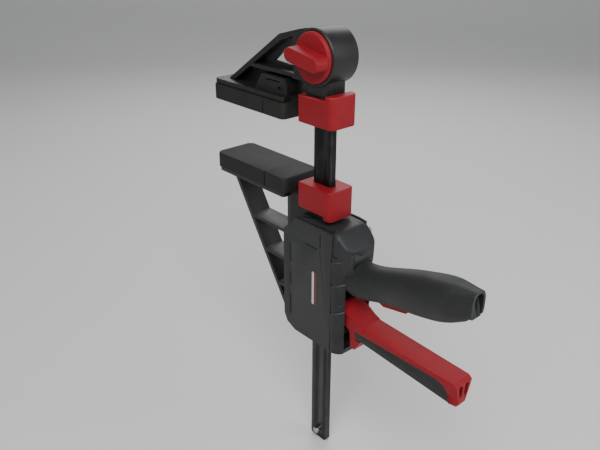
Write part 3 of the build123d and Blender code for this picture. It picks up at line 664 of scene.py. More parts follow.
def new_piece(
    name: str, points: Floats, faces: Sequence[Sequence[int]], materials: Sequence[Finish]
) -> Piece:
    """Object at the origin from points in millimetres about the bar's axis.

    Args:
        name: the piece's name.
        points: corners, X measured from the bar's axis.
        faces: corner numbers of each face.
        materials: material slots in order.

    Returns:
        The new object, smooth shaded.
    """
    mesh = bpy.data.meshes.new(name)
    placed = (points + np.array([BAR_X, 0.0, 0.0])) * MM
    mesh.from_pydata(placed.tolist(), [], [tuple(int(i) for i in f) for f in faces])
    mesh.update()
    mesh.shade_smooth()
    for material in materials:
        mesh.materials.append(material)
    piece = bpy.data.objects.new(name, mesh)
    bpy.context.scene.collection.objects.link(piece)
    return piece


def grid_faces(rows: int, columns: int, closed: bool) -> list[tuple[int, int, int, int]]:
    """Quads of a grid of points numbered row by row.

    Args:
        rows: number of rows.
        columns: points in each row.
        closed: whether the last column joins the first.

    Returns:
        Four corner numbers per quad.
    """
    across = np.arange(columns if closed else columns - 1)
    row, column = np.meshgrid(np.arange(rows - 1), across, indexing="ij")
    nxt = (column + 1) % columns
    here, above = row * columns, (row + 1) * columns
    quads = np.stack([here + column, here + nxt, above + nxt, above + column], -1)
    return [tuple(q) for q in quads.reshape(-1, 4).tolist()]


def closed_tube(rings: Floats) -> tuple[Floats, list[tuple[int, ...]]]:
    """Closed surface through rings of points, ended by one pole at each end.

    Args:
        rings: array of shape (rings, points, 3).

    Returns:
        Points and outward faces.
    """
    rows, columns, _ = rings.shape
    points = np.concatenate([rings.reshape(-1, 3), rings[:1].mean(1), rings[-1:].mean(1)])
    faces: list[tuple[int, ...]] = list(grid_faces(rows, columns, True))
    first, last, start = rows * columns, rows * columns + 1, (rows - 1) * columns
    around = np.arange(columns)
    nxt = (around + 1) % columns
    faces += list(zip([first] * columns, nxt.tolist(), around.tolist()))
    faces += list(zip([last] * columns, (start + around).tolist(), (start + nxt).tolist()))
    return points, outward(points, faces)


@dataclass
class DressedNode:
    """Copy of a CAD node's mesh with its flat triangles joined and its edges rounded.

    The rounded strips take the second material, a paler version of the first, as painted highlight along
    the edges.
    """

    node: str
    body: Body
    slot: str
    edge: float = 0.5
    segments: int = 3
    sharp_angle: float = 32.0

    def cut(self, shell: bmesh.types.BMesh) -> None:
        """Adds edge loops where the shape is moved; a plain node needs none."""

    def shaped(self, points: Floats) -> Floats:
        """Moves points, in millimetres about the bar's axis; a plain node keeps them."""
        return points

    def build(self, face: Finish, rim: Finish) -> Piece:
        """Makes the piece and hides the CAD node.

        Args:
            face: finish of the faces.
            rim: paler finish of the rounded edges, a painted edge highlight.

        Returns:
            The piece.
        """
        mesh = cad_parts[self.node].data.copy()
        mesh.name = self.node + "_skin"
        shell = bmesh.new()
        shell.from_mesh(mesh)
        bmesh.ops.remove_doubles(shell, verts=shell.verts, dist=2e-6)
        bmesh.ops.dissolve_limit(shell, angle_limit=radians(0.6), verts=shell.verts, edges=shell.edges)
        self.cut(shell)
        shell.to_mesh(mesh)
        shell.free()
        spots = np.zeros(len(mesh.vertices) * 3)
        mesh.vertices.foreach_get("co", spots)
        moved = self.shaped(spots.reshape(-1, 3) / MM - np.array([BAR_X, 0.0, 0.0]))
        mesh.vertices.foreach_set("co", ((moved + np.array([BAR_X, 0.0, 0.0])) * MM).ravel())
        mesh.update()
        mesh.shade_smooth()
        mesh.materials.clear()
        mesh.materials.append(face)
        mesh.materials.append(rim)
        mesh.polygons.foreach_set("material_index", np.zeros(len(mesh.polygons), dtype=np.int32))
        piece = bpy.data.objects.new(self.node + "_skin", mesh)
        bpy.context.scene.collection.objects.link(piece)
        round_edges(piece, self.edge, self.segments, self.sharp_angle)
        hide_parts(self.node)
        mount(piece, self.body)
        return piece


def slice_levels(shell: bmesh.types.BMesh, places: Sequence[float], normal: tuple[int, int, int]) -> None:
    """Adds edge loops on several parallel planes without removing anything.

    Args:
        shell: the mesh.
        places: distances of the planes from the origin in millimetres.
        normal: direction across the planes.
    """
    for place in places:
        parts = [*shell.verts, *shell.edges, *shell.faces]
        on_plane = tuple(place * MM * n for n in normal)
        bmesh.ops.bisect_plane(
            shell, geom=parts, dist=1e-7, plane_co=on_plane, plane_no=normal
        )


CROWN_START = 31.0
CROWN_TOP = -76.8
CROWN_FALL = 1.05
CROWN_EASE = 1.5
CROWN_FADE = 8.0
CROWN_BULGE = 2.5
CROWN_HALF_WIDTH = 18.0
CROWN_BLEND = 5.0
CORE_START = 47.2


def sloped_crown(points: Floats, sink: float) -> Floats:
    """Lowers the housing's top behind the panel to a slope that starts softly.

    With r the distance behind x = 31, the slope lies at -76.8 - 1.05 r^2 / (r + 1.5), and the
    middle of the width stands up to 2.5 higher where r is large. A point d above the slope drops by
    (d + sqrt(d^2 + w^2)) / 2, which rounds the slope's edges over a width w. The handle's core,
    behind x = 47.2, is left alone.

    Args:
        points: corners in millimetres about the bar's axis.
        sink: how far below the slope the points are held.

    Returns:
        The lowered points.
    """
    x, y, z = points[..., 0], points[..., 1], points[..., 2]
    behind = np.clip(x - CROWN_START, 0.0, None)
    fade = np.clip(behind / CROWN_FADE, 0.0, 1.0)
    sideways = np.clip(np.abs(y) / CROWN_HALF_WIDTH, 0.0, 1.0)
    crowned = CROWN_BULGE * fade * (1.0 - sideways**2)
    slope = CROWN_TOP - CROWN_FALL * behind**2 / (behind + CROWN_EASE) + crowned
    above = z - slope + sink
    drop = (above + np.sqrt(above**2 + (CROWN_BLEND * fade) ** 2)) / 2
    return np.stack([x, y, np.where((behind > 0) & (x < CORE_START), z - drop, z)], -1)


@dataclass
class SoftTopShell(DressedNode):
    """Housing half whose upper rear rim is rounded.

    Above top - radius the outline is pulled in by radius - sqrt(radius^2 - h^2), where h is the
    height above that level, towards a middle point, fading in behind the panel.
    """

    top: float = -77.0
    radius: float = 7.0
    middle_x: float = 18.0
    half_width: float = 18.5
    fade_start: float = 27.0
    fade_length: float = 5.0
    rim_band: float = 3.0
    rear_band: float = 14.0
    sink: float = 0.8

    def cut(self, shell: bmesh.types.BMesh) -> None:
        """Adds loops through the rounded zone."""
        rise = self.radius * np.sin(np.radians([0.0, 15.0, 30.0, 45.0, 60.0, 75.0]))
        slice_levels(shell, (self.top - self.radius + rise).tolist(), (0, 0, 1))
        slice_levels(shell, (BAR_X + np.arange(31.0, 47.0, 2.5)).tolist(), (1, 0, 0))

    def shaped(self, points: Floats) -> Floats:
        """Pulls the rim in and lowers the crown behind the panel.

        Args:
            points: corners in millimetres about the bar's axis.

        Returns:
            The moved corners.
        """
        x, y, z = points.T
        height = np.clip(z - (self.top - self.radius), 0.0, self.radius)
        pull = self.radius - np.sqrt(self.radius**2 - height**2)
        fade = np.clip((x - self.fade_start) / self.fade_length, 0.0, 1.0)
        outside = np.abs(y) > self.half_width - self.rim_band
        outside |= x > self.middle_x + self.rear_band
        share = 1.0 - fade * outside * pull / self.half_width
        rounded = np.stack([self.middle_x + (x - self.middle_x) * share, y * share, z], -1)
        return sloped_crown(rounded, self.sink)


@dataclass
class TriggerShell(DressedNode):
    """Trigger whose root slopes down to the blade and whose tip narrows downwards.

    Above a sloped line near the root, points drop to it. Behind tip_x the width shrinks with the
    square of the depth below tip_z.
    """

    tip_x: float = 143.0
    tip_z: float = -162.0
    narrowing: float = 0.6
    tip_height: float = 14.0
    tip_blend: float = 4.0
    root_x: tuple[float, ...] = (36.0, 41.0, 45.0, 50.0, 57.5)
    root_z: tuple[float, ...] = (-142.5, -146.4, -149.6, -152.8, -155.8)

    def shaped(self, points: Floats) -> Floats:
        """Slopes the root and narrows the tip.

        Args:
            points: corners in millimetres about the bar's axis.

        Returns:
            The moved corners.
        """
        x, y, z = points.T
        line = np.interp(x, self.root_x, self.root_z)
        low = np.where((x > self.root_x[0]) & (x < self.root_x[-1]), np.minimum(z, line), z)
        depth = np.clip((self.tip_z - z) / self.tip_height, 0.0, 1.0)
        near_tip = np.clip((x - self.tip_x) / self.tip_blend, 0.0, 1.0)
        share = 1.0 - self.narrowing * depth**2 * near_tip
        return np.stack([x, y * share, low], -1)


def mount(piece: Piece, body: Body) -> None:
    """Makes a piece ride on a body."""
    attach(piece, body.value)


def round_edges(piece: Piece, width: float, segments: int, sharp_angle: float) -> None:
    """Adds an edge rounding that shades flat faces flat.

    Args:
        piece: the object.
        width: the rounding's size in millimetres.
        segments: strips across it.
        sharp_angle: least angle in degrees between faces that are rounded.
    """
    bevel = piece.modifiers.new("edge_rounding", "BEVEL")
    bevel.width = width * MM
    bevel.segments = segments
    bevel.limit_method = "ANGLE"
    bevel.angle_limit = radians(sharp_angle)
    bevel.harden_normals = True
    bevel.miter_outer = "MITER_ARC"
    # The rounded strips take the second, paler finish: painted edge highlight.
    bevel.material = 1


# ------------------------------------------------------------------ sub-assemblies


def dress(body: Body, rows: Sequence[Row]) -> list[Piece]:
    """Dresses plain nodes that ride on one body.

    Args:
        body: the body.
        rows: node, slot, edge size, strips across the edge, and the finishes of faces and edges.

    Returns:
        The pieces in order.
    """
    return [
        DressedNode(node, body, slot, edge, strips).build(face, rim)
        for node, slot, edge, strips, face, rim in rows
    ]


@dataclass
class FixedEnd:
    """Bar, fixed jaw with its pad, guard, drum cover and lock knob."""

    finishes: Finishes

    def build(self) -> list[Piece]:
        """Dresses every piece of the fixed end.

        Returns:
            The pieces.
        """
        f = self.finishes
        frame_rows = [
            ("bar", "bar_steel", 0.35, 2, f.bar, f.bar_edge_highlight),
            ("bar_stop_pin", "pin_steel", 0.2, 2, f.steel, f.steel),
            ("fixed_jaw", "jaw_plastic", 0.5, 3, f.jaw, f.jaw_edge_highlight),
            ("fixed_jaw_pad", "pad_plastic", 0.6, 3, f.pad, f.pad_edge_highlight),
            ("upper_bar_guard", "red_plastic", 0.9, 4, f.red, f.red_edge_highlight),
            ("drum_back_cover", "housing_plastic", 0.3, 2, f.housing, f.housing_edge_highlight),
        ]
        return [
            *dress(Body.FRAME, frame_rows),
            *dress(Body.KNOB, [("lock_knob", "red_plastic", 0.6, 4, f.red, f.red_edge_highlight)]),
            *dress(Body.PIN, [("lock_pin", "pin_steel", 0.2, 2, f.steel, f.steel)]),
        ]


@dataclass
class MovingHead:
    """Housing, moving jaw with its pad, guard, guides, pins, screws and springs."""

    finishes: Finishes

    def build(self) -> list[Piece]:
        """Dresses every piece of the moving head except the handle.

        Returns:
            The pieces.
        """
        f = self.finishes
        jaw_rows = [
            ("moving_jaw", "jaw_plastic", 0.5, 3, f.jaw, f.jaw_edge_highlight),
            ("moving_jaw_pad", "pad_plastic", 0.6, 3, f.pad, f.pad_edge_highlight),
            ("lower_bar_guard", "red_plastic", 0.9, 4, f.red, f.red_edge_highlight),
        ]
        pieces = dress(Body.HEAD, jaw_rows)
        for node in ("housing_left", "housing_right"):
            shell = SoftTopShell(node, Body.HEAD, "housing_plastic", 0.5, 3)
            pieces.append(shell.build(f.housing, f.housing_edge_highlight))
        small_rows = [
            ("side_panel_left", "housing_plastic", 0.45, 3, f.housing, f.housing_edge_highlight),
            ("side_panel_right", "housing_plastic", 0.45, 3, f.housing, f.housing_edge_highlight),
            ("trigger_pivot_pin", "pin_steel", 0.2, 2, f.steel, f.steel),
            ("release_pivot_pin", "pin_steel", 0.2, 2, f.steel, f.steel),
            ("brake_pivot_pin", "pin_steel", 0.2, 2, f.steel, f.steel),
            ("housing_screws", "pin_steel", 0.15, 2, f.steel, f.steel),
            ("jaw_screws", "pin_steel", 0.15, 2, f.steel, f.steel),
            ("bar_guide_top", "guide_plastic", 0.3, 2, f.guide, f.guide),
            ("bar_guide_bottom", "guide_plastic", 0.3, 2, f.guide, f.guide),
        ]
        pieces += dress(Body.HEAD, small_rows)
        pieces.append(self.spring("drive_spring", "drive_plate_slide", -182.8, 0.828))
        pieces.append(self.spring("brake_spring", "brake_tilt", -117.0, 0.76))
        return pieces

    def spring(self, node: str, joint: str, foot: float, keep: float) -> Piece:
        """Copies an upright coil spring.

        Args:
            node: the spring's CAD node.
            joint: joint of the plate that presses it; not used.
            foot: height of its fixed end; not used.
            keep: share of its length left at the joint's limit; not used.

        Returns:
            The piece.
        """
        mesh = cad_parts[node].data.copy()
        mesh.materials.clear()
        mesh.materials.append(self.finishes.spring)
        piece = bpy.data.objects.new(node + "_coil", mesh)
        bpy.context.scene.collection.objects.link(piece)
        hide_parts(node)
        mount(piece, Body.HEAD)
        foot * MM
        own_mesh(piece)
        return piece


@dataclass
class Mechanism:
    """Trigger with its inserts and nose, the two plates and the release lever."""

    finishes: Finishes

    def build(self) -> list[Piece]:
        """Dresses every moving piece of the head.

        Returns:
            The pieces.
        """
        f = self.finishes
        trigger = TriggerShell("trigger", Body.TRIGGER, "red_plastic", 0.8, 4)
        trigger_rows = [
            ("trigger_insert_left", "grip_rubber", 0.3, 2, f.grip, f.grip_edge_highlight),
            ("trigger_insert_right", "grip_rubber", 0.3, 2, f.grip, f.grip_edge_highlight),
            ("trigger_nose", "pin_steel", 0.2, 2, f.steel, f.steel),
        ]
        return [
            trigger.build(f.red, f.red_edge_highlight),
            *dress(Body.TRIGGER, trigger_rows),
            *dress(Body.DRIVE, [("drive_plate", "plate_steel", 0.25, 2, f.plate, f.steel)]),
            *dress(Body.BRAKE, [("brake_plate", "plate_steel", 0.25, 2, f.plate, f.steel)]),
            *dress(Body.RELEASE, [("release_lever", "red_plastic", 0.7, 3, f.red, f.red_edge_highlight)]),
        ]


@dataclass
class Handle:
    """Swelling grip sleeve, flared into the housing, with an open hood at its rear end.

    Sections are egg-shaped: at angle t the side offset is width * cos(t), and the rise is
    top * sin(t) above the axis or under * sin(t) below it, both with a superellipse power that
    makes the last third squarer.
    """

    finishes: Finishes
    start_x: float = 45.0
    start_z: float = -119.0
    tilt: float = 13.5
    length: float = 100.5
    hood: float = 9.1
    wall: float = 2.3
    squareness: float = 2.25
    end_squareness: float = 3.0
    square_start: float = 70.0
    wall_end: float = -48.0
    overlap: float = 2.0
    stations: tuple[float, ...] = (
        -9.0, -3.0, 3.0, 12.0, 22.0, 40.0,
        60.0, 80.0, 94.0, 104.0, 113.5,
    )
    tops: tuple[float, ...] = (
        23.5, 19.6, 16.8, 15.0, 14.6, 16.0,
        17.7, 17.9, 16.4, 13.9, 11.2,
    )
    unders: tuple[float, ...] = (
        8.5, 10.0, 13.6, 15.0, 14.4, 15.0,
        16.6, 16.3, 13.4, 10.7, 9.8,
    )
    widths: tuple[float, ...] = (
        15.2, 13.6, 12.7, 12.1, 11.9, 12.7,
        13.8, 13.9, 12.2, 8.8, 7.2,
    )

    def section(self, along: Floats, turn: Floats, inset: float = 0.0) -> Floats:
        """Points of the sleeve's surface.

        Args:
            along: distances along the handle, as a column.
            turn: angles around it, as a row.
            inset: how far inside the surface, in millimetres.

        Returns:
            Array of shape (len(along), len(turn), 3) about the bar's axis.
        """
        profiles = (self.tops, self.unders, self.widths)
        top, under, width = (
            natural_spline(self.stations, profile, along)[:, None] - inset for profile in profiles
        )
        squares = (self.squareness, self.squareness, self.end_squareness)
        power = 2.0 / np.interp(along, (0.0, self.square_start, self.length), squares)
        across = width * signed_power(np.cos(turn)[None, :], power[:, None])
        lift = signed_power(np.sin(turn)[None, :], power[:, None])
        rise = np.where(lift > 0, top * lift, under * lift)
        return self.placed(np.broadcast_to(along[:, None], rise.shape), across, rise)

    def placed(self, along: Floats, across: Floats, rise: Floats) -> Floats:
        """Turns handle coordinates into points about the bar's axis.

        Args:
            along: distance along the handle's axis.
            across: offset towards +Y.
            rise: offset above the axis.

        Returns:
            Points with a last axis of three.
        """
        tilt = radians(self.tilt)
        x = self.start_x + along * cos(tilt) - rise * sin(tilt)
        z = self.start_z + along * sin(tilt) + rise * cos(tilt)
        return np.stack([x, across, z], -1)

    def sleeve(self) -> Piece:
        """Grip sleeve with a rounded rear rim.

        Returns:
            The piece.
        """
        along = np.linspace(self.stations[0], self.length, 150)
        turn = np.linspace(0, 2 * pi, 96, endpoint=False)
        rings = self.section(along, turn)
        centre = rings[-1].mean(0)
        axis = np.array([cos(radians(self.tilt)), 0.0, sin(radians(self.tilt))])
        quarter = np.linspace(0, pi / 2, 5)[1:]
        shrink = (1 - 0.11 * (1 - np.cos(quarter)))[:, None, None]
        behind = axis * (0.9 * np.sin(quarter))[:, None, None]
        rim = centre + (rings[-1] - centre)[None] * shrink + behind
        points, faces = closed_tube(np.concatenate([rings, rim]))
        piece = new_piece("handle_sleeve", points, faces, [self.finishes.grip])
        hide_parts("handle_grip")
        mount(piece, Body.HEAD)
        return piece

    def rear_hood(self) -> Piece:
        """Arched hood behind the sleeve, open to the rear and below.

        The outer and inner arches are the sleeve's sections over the upper part of a turn; each
        side wall ends at a rounded lower edge. The sections turn upright towards the end, where x
        moves by the height above the axis times the tangent of the tilt.

        Returns:
            The piece.
        """
        along = np.linspace(self.length - self.overlap, self.length + self.hood, 26)
        turn = np.linspace(radians(self.wall_end), radians(180 - self.wall_end), 71)
        outer = self.section(along, turn)
        inner = self.section(along, turn, self.wall)
        loop = np.concatenate([outer, inner[:, ::-1]], axis=1)
        share = np.linspace(0.0, 1.0, len(along))[:, None]
        axis_z = self.start_z + along[:, None] * sin(radians(self.tilt))
        loop[..., 0] += share * (loop[..., 2] - axis_z) * tan(radians(self.tilt))
        points, faces = closed_strip(loop)
        piece = new_piece("handle_hood", points, faces, [self.finishes.grip, self.finishes.grip_edge_highlight])
        round_edges(piece, 0.8, 3, 40.0)
        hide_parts("handle_end_cap")
        mount(piece, Body.HEAD)
        return piece

    def build(self) -> list[Piece]:
        """Makes the sleeve and the hood."""
        return [self.sleeve(), self.rear_hood()]


def closed_strip(loops: Floats) -> tuple[Floats, list[tuple[int, ...]]]:
    """Solid from equal loops of points, ended by one flat face at each end made of quads.

    Each loop goes out along one wall and back along the other, so point i faces point -1 - i.

    Args:
        loops: array of shape (loops, points, 3).

    Returns:
        Points and outward faces.
    """
    rows, columns, _ = loops.shape
    points = loops.reshape(-1, 3)
    faces: list[tuple[int, ...]] = list(grid_faces(rows, columns, True))
    half = columns // 2
    for base, flip in ((0, True), ((rows - 1) * columns, False)):
        i = np.arange(half - 1)
        quads = np.stack([base + i, base + i + 1, base + columns - 2 - i, base + columns - 1 - i], -1)
        faces += [tuple(q) for q in (quads[:, ::-1] if flip else quads).tolist()]
    return points, outward(points, faces)


@dataclass
class Shoulder:
    """Broad rounded shoulder of the housing above the handle, as wide as the housing.

    A superquadric: at latitude v and longitude u the unit point is (cos v)^e (cos u)^k,
    (cos v)^e (sin u)^k, (sin v)^e, each power with its sign kept, scaled by the half sizes. Its rear
    face leans forwards towards the handle by lean times the depth below the crown, squared.
    """

    finishes: Finishes
    centre: Triple = (21.0, 0.0, -97.8)
    half: Triple = (25.6, 18.75, 21.0)
    upright: float = 0.44
    plan: float = 0.5
    lean: float = 0.0022

    def build(self) -> list[Piece]:
        """Makes the shoulder.

        Returns:
            The pieces.
        """
        v = np.linspace(-pi / 2, pi / 2, 62)[1:-1, None]
        u = np.linspace(0, 2 * pi, 120, endpoint=False)[None, :]
        flat = signed_power(np.cos(v), self.upright)
        unit = [
            flat * signed_power(np.cos(u), self.plan),
            flat * signed_power(np.sin(u), self.plan),
            signed_power(np.sin(v), self.upright) * np.ones_like(u),
        ]
        rings = np.stack(unit, -1) * np.array(self.half) + np.array(self.centre)
        crown = self.centre[2] + self.half[2]
        rings[..., 0] -= self.lean * (crown - rings[..., 2]) ** 2 * (rings[..., 0] > self.centre[0])
        points, faces = closed_tube(sloped_crown(rings, 0.0))
        piece = new_piece("housing_shoulder", points, faces, [self.finishes.housing])
        mount(piece, Body.HEAD)
        return [piece]


def paint_ledge_highlight(piece: Piece) -> None:
    """Gives the second, paler material to faces that look upwards, except the piece's top end: painted
    highlight where the top light falls on the ledges.

    Args:
        piece: the object.
    """
    count = len(piece.data.polygons)
    normals, centres = np.zeros(count * 3), np.zeros(count * 3)
    piece.data.polygons.foreach_get("normal", normals)
    piece.data.polygons.foreach_get("center", centres)
    up, height = normals.reshape(-1, 3)[:, 2], centres.reshape(-1, 3)[:, 2]
    ledge = (up > 0.3) & (height < height.max() - 0.4 * MM)
    piece.data.polygons.foreach_set("material_index", ledge.astype(np.int32))
    piece.data.update()


@dataclass
class RibbedCorner:
    """Ribbed rubber skin round the two rear corners of the housing.

    The plan path runs back along the side and round a quarter of the corner. At height z the skin
    stands out from it by a saw tooth: most just under each sloped ridge line, falling evenly to the
    next one. A shallow pocket with soft edges lies between the upper two ridges.
    """

    finishes: Finishes
    front_x: float = 30.2
    corner_x: float = 31.0
    corner_y: float = 10.0
    radius: float = 10.0
    last_angle: float = -22.0
    low: float = -187.2
    high: float = -97.6
    ridges: tuple[float, ...] = (-97.6, -102.3, -123.3, -149.3, -187.2)
    rise: float = 0.36
    tooth: float = 1.15
    thickness: float = 1.5
    base: float = 0.5
    pocket_depth: float = 0.7
    pocket: tuple[float, float] = (38.0, -131.0)
    pocket_half: tuple[float, float] = (2.0, 9.0)

    def outline(self, count: int) -> tuple[Floats, Floats]:
        """Plan path on the -Y side with its outward directions.

        Args:
            count: number of points.

        Returns:
            Points and unit normals, each of shape (count, 2).
        """
        angle = np.radians(np.linspace(-90.0, self.last_angle, count - 4))
        turned = np.stack([np.cos(angle), np.sin(angle)], -1)
        arc = np.array([self.corner_x, -self.corner_y]) + self.radius * turned
        start = np.linspace(self.front_x, self.corner_x, 5)[:4]
        side = np.stack([start, np.full(4, -self.corner_y - self.radius)], -1)
        normal = np.concatenate([np.tile([0.0, -1.0], (4, 1)), turned])
        return np.concatenate([side, arc]), normal

    def relief(self, x: Floats, z: Floats) -> Floats:
        """How far the skin stands out.

        Args:
            x: plan places.
            z: heights.

        Returns:
            The distances in millimetres.
        """
        level = z - self.rise * (x - self.front_x)
        edges = np.array(self.ridges[1:-1])
        below = np.array([*self.ridges[2:-1], self.ridges[-1] - 4.0])
        depth = (edges[:, None, None] - level[None]) / (edges - below)[:, None, None]
        soft = np.clip((edges[:, None, None] - level[None]) / 0.5, 0.0, 1.0)
        teeth = np.where((depth >= 0) & (depth < 1), (1.0 - depth) * soft, 0.0).sum(0)
        pocket_z = np.clip(1.0 - (np.abs(z - self.pocket[1]) / self.pocket_half[1]) ** 6, 0.0, 1.0)
        pocket_x = np.clip(1.0 - (np.abs(x - self.pocket[0]) / self.pocket_half[0]) ** 4, 0.0, 1.0)
        return self.tooth * teeth - self.base - self.pocket_depth * pocket_z * pocket_x

    def build(self) -> list[Piece]:
        """Makes the skin of both corners.

        Returns:
            The pieces.
        """
        plan, normal = self.outline(40)
        z = np.linspace(self.low, self.high, 360)
        x_grid, z_grid = np.broadcast_arrays(plan[None, :, 0], z[:, None])
        out = self.relief(x_grid, z_grid)[..., None] * normal[None]
        outer = np.concatenate([plan[None] + out, z_grid[..., None]], -1)
        inner_plan = np.broadcast_to((plan - self.thickness * normal)[None], (len(z), len(plan), 2))
        inner = np.concatenate([inner_plan, z_grid[..., None]], -1)
        loops = np.concatenate([outer, inner[:, ::-1]], axis=1)
        pieces = []
        for side, node in ((1.0, "rear_grip_right"), (-1.0, "rear_grip_left")):
            points, faces = closed_strip(loops * np.array([1.0, side, 1.0]))
            piece = new_piece(node + "_skin", points, faces, [self.finishes.grip, self.finishes.ridge])
            # Upward ledges take the paler ridge rubber as painted highlight.
            paint_ledge_highlight(piece)
            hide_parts(node)
            mount(piece, Body.HEAD)
            pieces.append(piece)
        return pieces


@dataclass
class PanelMarks:
    """Two plain printed stripes on the panel, and the backing of the panels' slots."""

    finishes: Finishes
    face_y: float = -20.0
    low: float = -150.0
    high: float = -119.0
    left: float = 7.6
    wide: float = 2.6
    gap: float = 1.5
    narrow: float = 0.9
    thickness: float = 0.06
    backing_y: tuple[float, float] = (18.7, 19.5)
    row_backing: tuple[float, float, float, float] = (-21.0, -16.0, -174.0, -101.0)
    corner_backing: tuple[float, float, float, float] = (-1.0, 18.5, -98.5, -81.0)

    def stripe(self, start: float, width: float, name: str, material: Finish) -> Piece:
        """Thin raised stripe with rounded ends: a loop round a stadium outline, front and back.

        Args:
            start: X of its front edge.
            width: its width.
            name: the piece's name.
            material: its paint.

        Returns:
            The piece.
        """
        angle = np.linspace(0, pi, 13)
        radius, middle = width / 2, start + width / 2
        across, lift = radius * np.cos(angle), radius * np.sin(angle)
        top = np.stack([middle + across, self.high - radius + lift], -1)
        bottom = np.stack([middle - across, self.low + radius - lift], -1)
        loop = np.concatenate([top, bottom])
        depth = np.array([self.face_y + 0.1, self.face_y - self.thickness])
        rings = np.stack([np.insert(loop, 1, y, axis=1) for y in depth])
        points, faces = closed_tube(rings)
        piece = new_piece(name, points, faces, [material])
        piece.data.shade_flat()
        mount(piece, Body.HEAD)
        return piece

    def backing(self, box: tuple[float, ...], side: float, name: str) -> Piece:
        """Thin plate inside a panel that makes its slots shallow.

        Args:
            box: its front, rear, low and high edge.
            side: -1 or 1 for the side it lies on.
            name: the piece's name.

        Returns:
            The piece.
        """
        x0, x1, z0, z1 = box
        loop = np.array([(x0, z0), (x1, z0), (x1, z1), (x0, z1)])
        rings = np.stack([np.insert(loop, 1, side * y, axis=1) for y in self.backing_y])
        points, faces = closed_tube(rings)
        piece = new_piece(name, points, faces, [self.finishes.housing])
        piece.data.shade_flat()
        mount(piece, Body.HEAD)
        return piece

    def build(self) -> list[Piece]:
        """Makes both stripes and the slots' backing on both sides.

        Returns:
            The pieces.
        """
        second = self.left + self.wide + self.gap
        return [
            self.stripe(self.left, self.wide, "panel_stripe_pale", self.finishes.white_mark),
            self.stripe(second, self.narrow, "panel_stripe_red", self.finishes.red_mark),
            self.backing(self.row_backing, -1.0, "slot_row_backing_right"),
            self.backing(self.row_backing, 1.0, "slot_row_backing_left"),
            self.backing(self.corner_backing, -1.0, "slot_corner_backing_right"),
            self.backing(self.corner_backing, 1.0, "slot_corner_backing_left"),
        ]


# ------------------------------------------------------------------ studio


def pose_matrix(right: Floats, up: Floats, back: Floats, place: Sequence[float]) -> Matrix:
    """World matrix from three axes and a place.

    Args:
        right: direction of the local X axis.
        up: direction of the local Y axis.
        back: direction of the local Z axis.
        place: the origin in metres.

    Returns:
        The matrix.
    """
    axes = np.column_stack([right, up, back, place])
    return Matrix(np.vstack([axes, [0, 0, 0, 1]]).tolist())


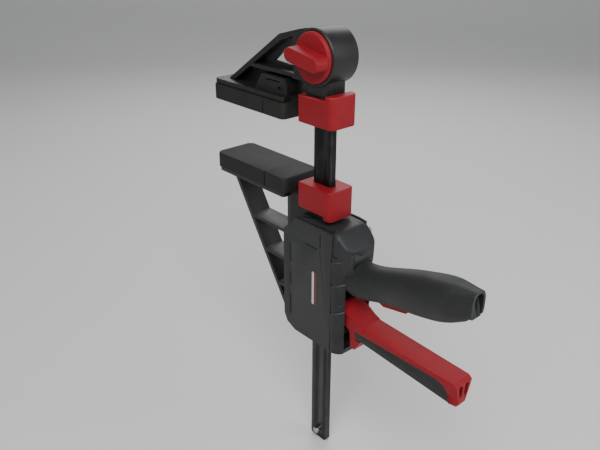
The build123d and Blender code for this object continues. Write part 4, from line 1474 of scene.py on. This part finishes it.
@dataclass
class Studio:
    """Pale paper floor, soft lights and the camera."""

    finishes: Finishes
    floor_z: float
    camera_at: Triple = (430.658, -344.632, 150.742)
    azimuth: float = 48.284
    elevation: float = 25.548
    lens: float = 40.142

    def floor(self) -> None:
        """Paper sweep under the clamp: flat in front, rising behind in a quarter circle."""
        across = np.linspace(-3.0, 3.0, 9)
        bend = np.linspace(0.1, pi / 2, 12)
        run = np.concatenate([np.linspace(-2.5, 1.6, 12), 1.6 + 0.8 * np.sin(bend), np.full(6, 2.4)])
        lift = np.concatenate([np.zeros(12), 0.8 - 0.8 * np.cos(bend), np.linspace(1.0, 3.5, 6)])
        turn = radians(self.azimuth)
        right = np.array([cos(turn), sin(turn), 0.0])
        away = np.array([-sin(turn), cos(turn), 0.0])
        points = run[:, None, None] * away + across[None, :, None] * right
        points = points + np.array([0.0, 0.0, 1.0]) * (lift + self.floor_z)[:, None, None]
        mesh = bpy.data.meshes.new("paper_sweep")
        mesh.from_pydata(points.reshape(-1, 3).tolist(), [], grid_faces(len(run), len(across), False))
        mesh.shade_smooth()
        mesh.materials.append(self.finishes.paper)
        sweep = bpy.data.objects.new("paper_sweep", mesh)
        bpy.context.scene.collection.objects.link(sweep)
        sweep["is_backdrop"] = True

    def light(self, name: str, place: Triple, size: float, power: float, tone: Colour) -> None:
        """Square area light aimed at the clamp.

        Args:
            name: the light's name.
            place: where it hangs, in metres.
            size: side of the square in metres.
            power: watts.
            tone: colour.
        """
        data = bpy.data.lights.new(name, "AREA")
        data.size = size
        data.energy = power
        data.color = tone
        lamp = bpy.data.objects.new(name, data)
        aim = np.array(place) - np.array([0.06, 0.0, -0.1])
        back = aim / np.linalg.norm(aim)
        right = np.cross([0.0, 0.0, 1.0], back)
        right = right / np.linalg.norm(right)
        up = np.cross(back, right)
        lamp.matrix_world = pose_matrix(right, up, back, place)
        bpy.context.scene.collection.objects.link(lamp)

    def camera(self) -> None:
        """Camera above the handle, looking along the clamp towards its jaws."""
        turn, lift = radians(self.azimuth), radians(self.elevation)
        back = np.array([sin(turn) * cos(lift), -cos(turn) * cos(lift), sin(lift)])
        right = np.array([cos(turn), sin(turn), 0.0])
        up = np.cross(back, right)
        data = bpy.data.cameras.new("camera")
        data.lens = self.lens
        data.sensor_width = 36.0
        data.clip_start = 0.01
        place = np.array(self.camera_at) * MM
        view = bpy.data.objects.new("camera", data)
        view.matrix_world = pose_matrix(right, up, back, place)
        bpy.context.scene.collection.objects.link(view)
        bpy.context.scene.camera = view

    def build(self) -> None:
        """Sets the floor, the lights, the air around and the camera."""
        self.floor()
        self.light("key", (0.75, -0.75, 1.0), 1.0, 20.0, (1.0, 0.985, 0.965))
        self.light("fill", (1.2, 0.5, 0.45), 1.1, 7.0, (0.93, 0.96, 1.0))
        self.light("back", (-0.7, 0.8, 0.8), 0.9, 9.0, (1.0, 1.0, 1.0))
        world = bpy.data.worlds.new("air")
        world.use_nodes = True
        air = world.node_tree.nodes["Background"].inputs
        air["Color"].default_value = (0.82, 0.84, 0.87, 1.0)
        air["Strength"].default_value = 0.35
        bpy.context.scene.world = world
        self.camera()


def corners(box: Sequence[Sequence[float]]) -> list[list[float]]:
    """Box corners as plain lists of numbers."""
    return [[float(v) for v in corner] for corner in box]


def main() -> None:
    """Builds the clamp and its studio, with the floor just under the model's lowest point."""
    logging.basicConfig(level=logging.INFO, format="%(name)s: %(message)s")
    cad_box = corners(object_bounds())
    finishes = Finishes()
    for part in (
        FixedEnd(finishes),
        MovingHead(finishes),
        Mechanism(finishes),
        Handle(finishes),
        Shoulder(finishes),
        RibbedCorner(finishes),
        PanelMarks(finishes),
    ):
        for piece in part.build():
            LOG.info("%s: %s, %d faces", type(part).__name__, piece.name, len(piece.data.polygons))
    Studio(finishes, floor_z=cad_box[0][2] - 0.001).build()


if __name__ == "__main__":
    main()
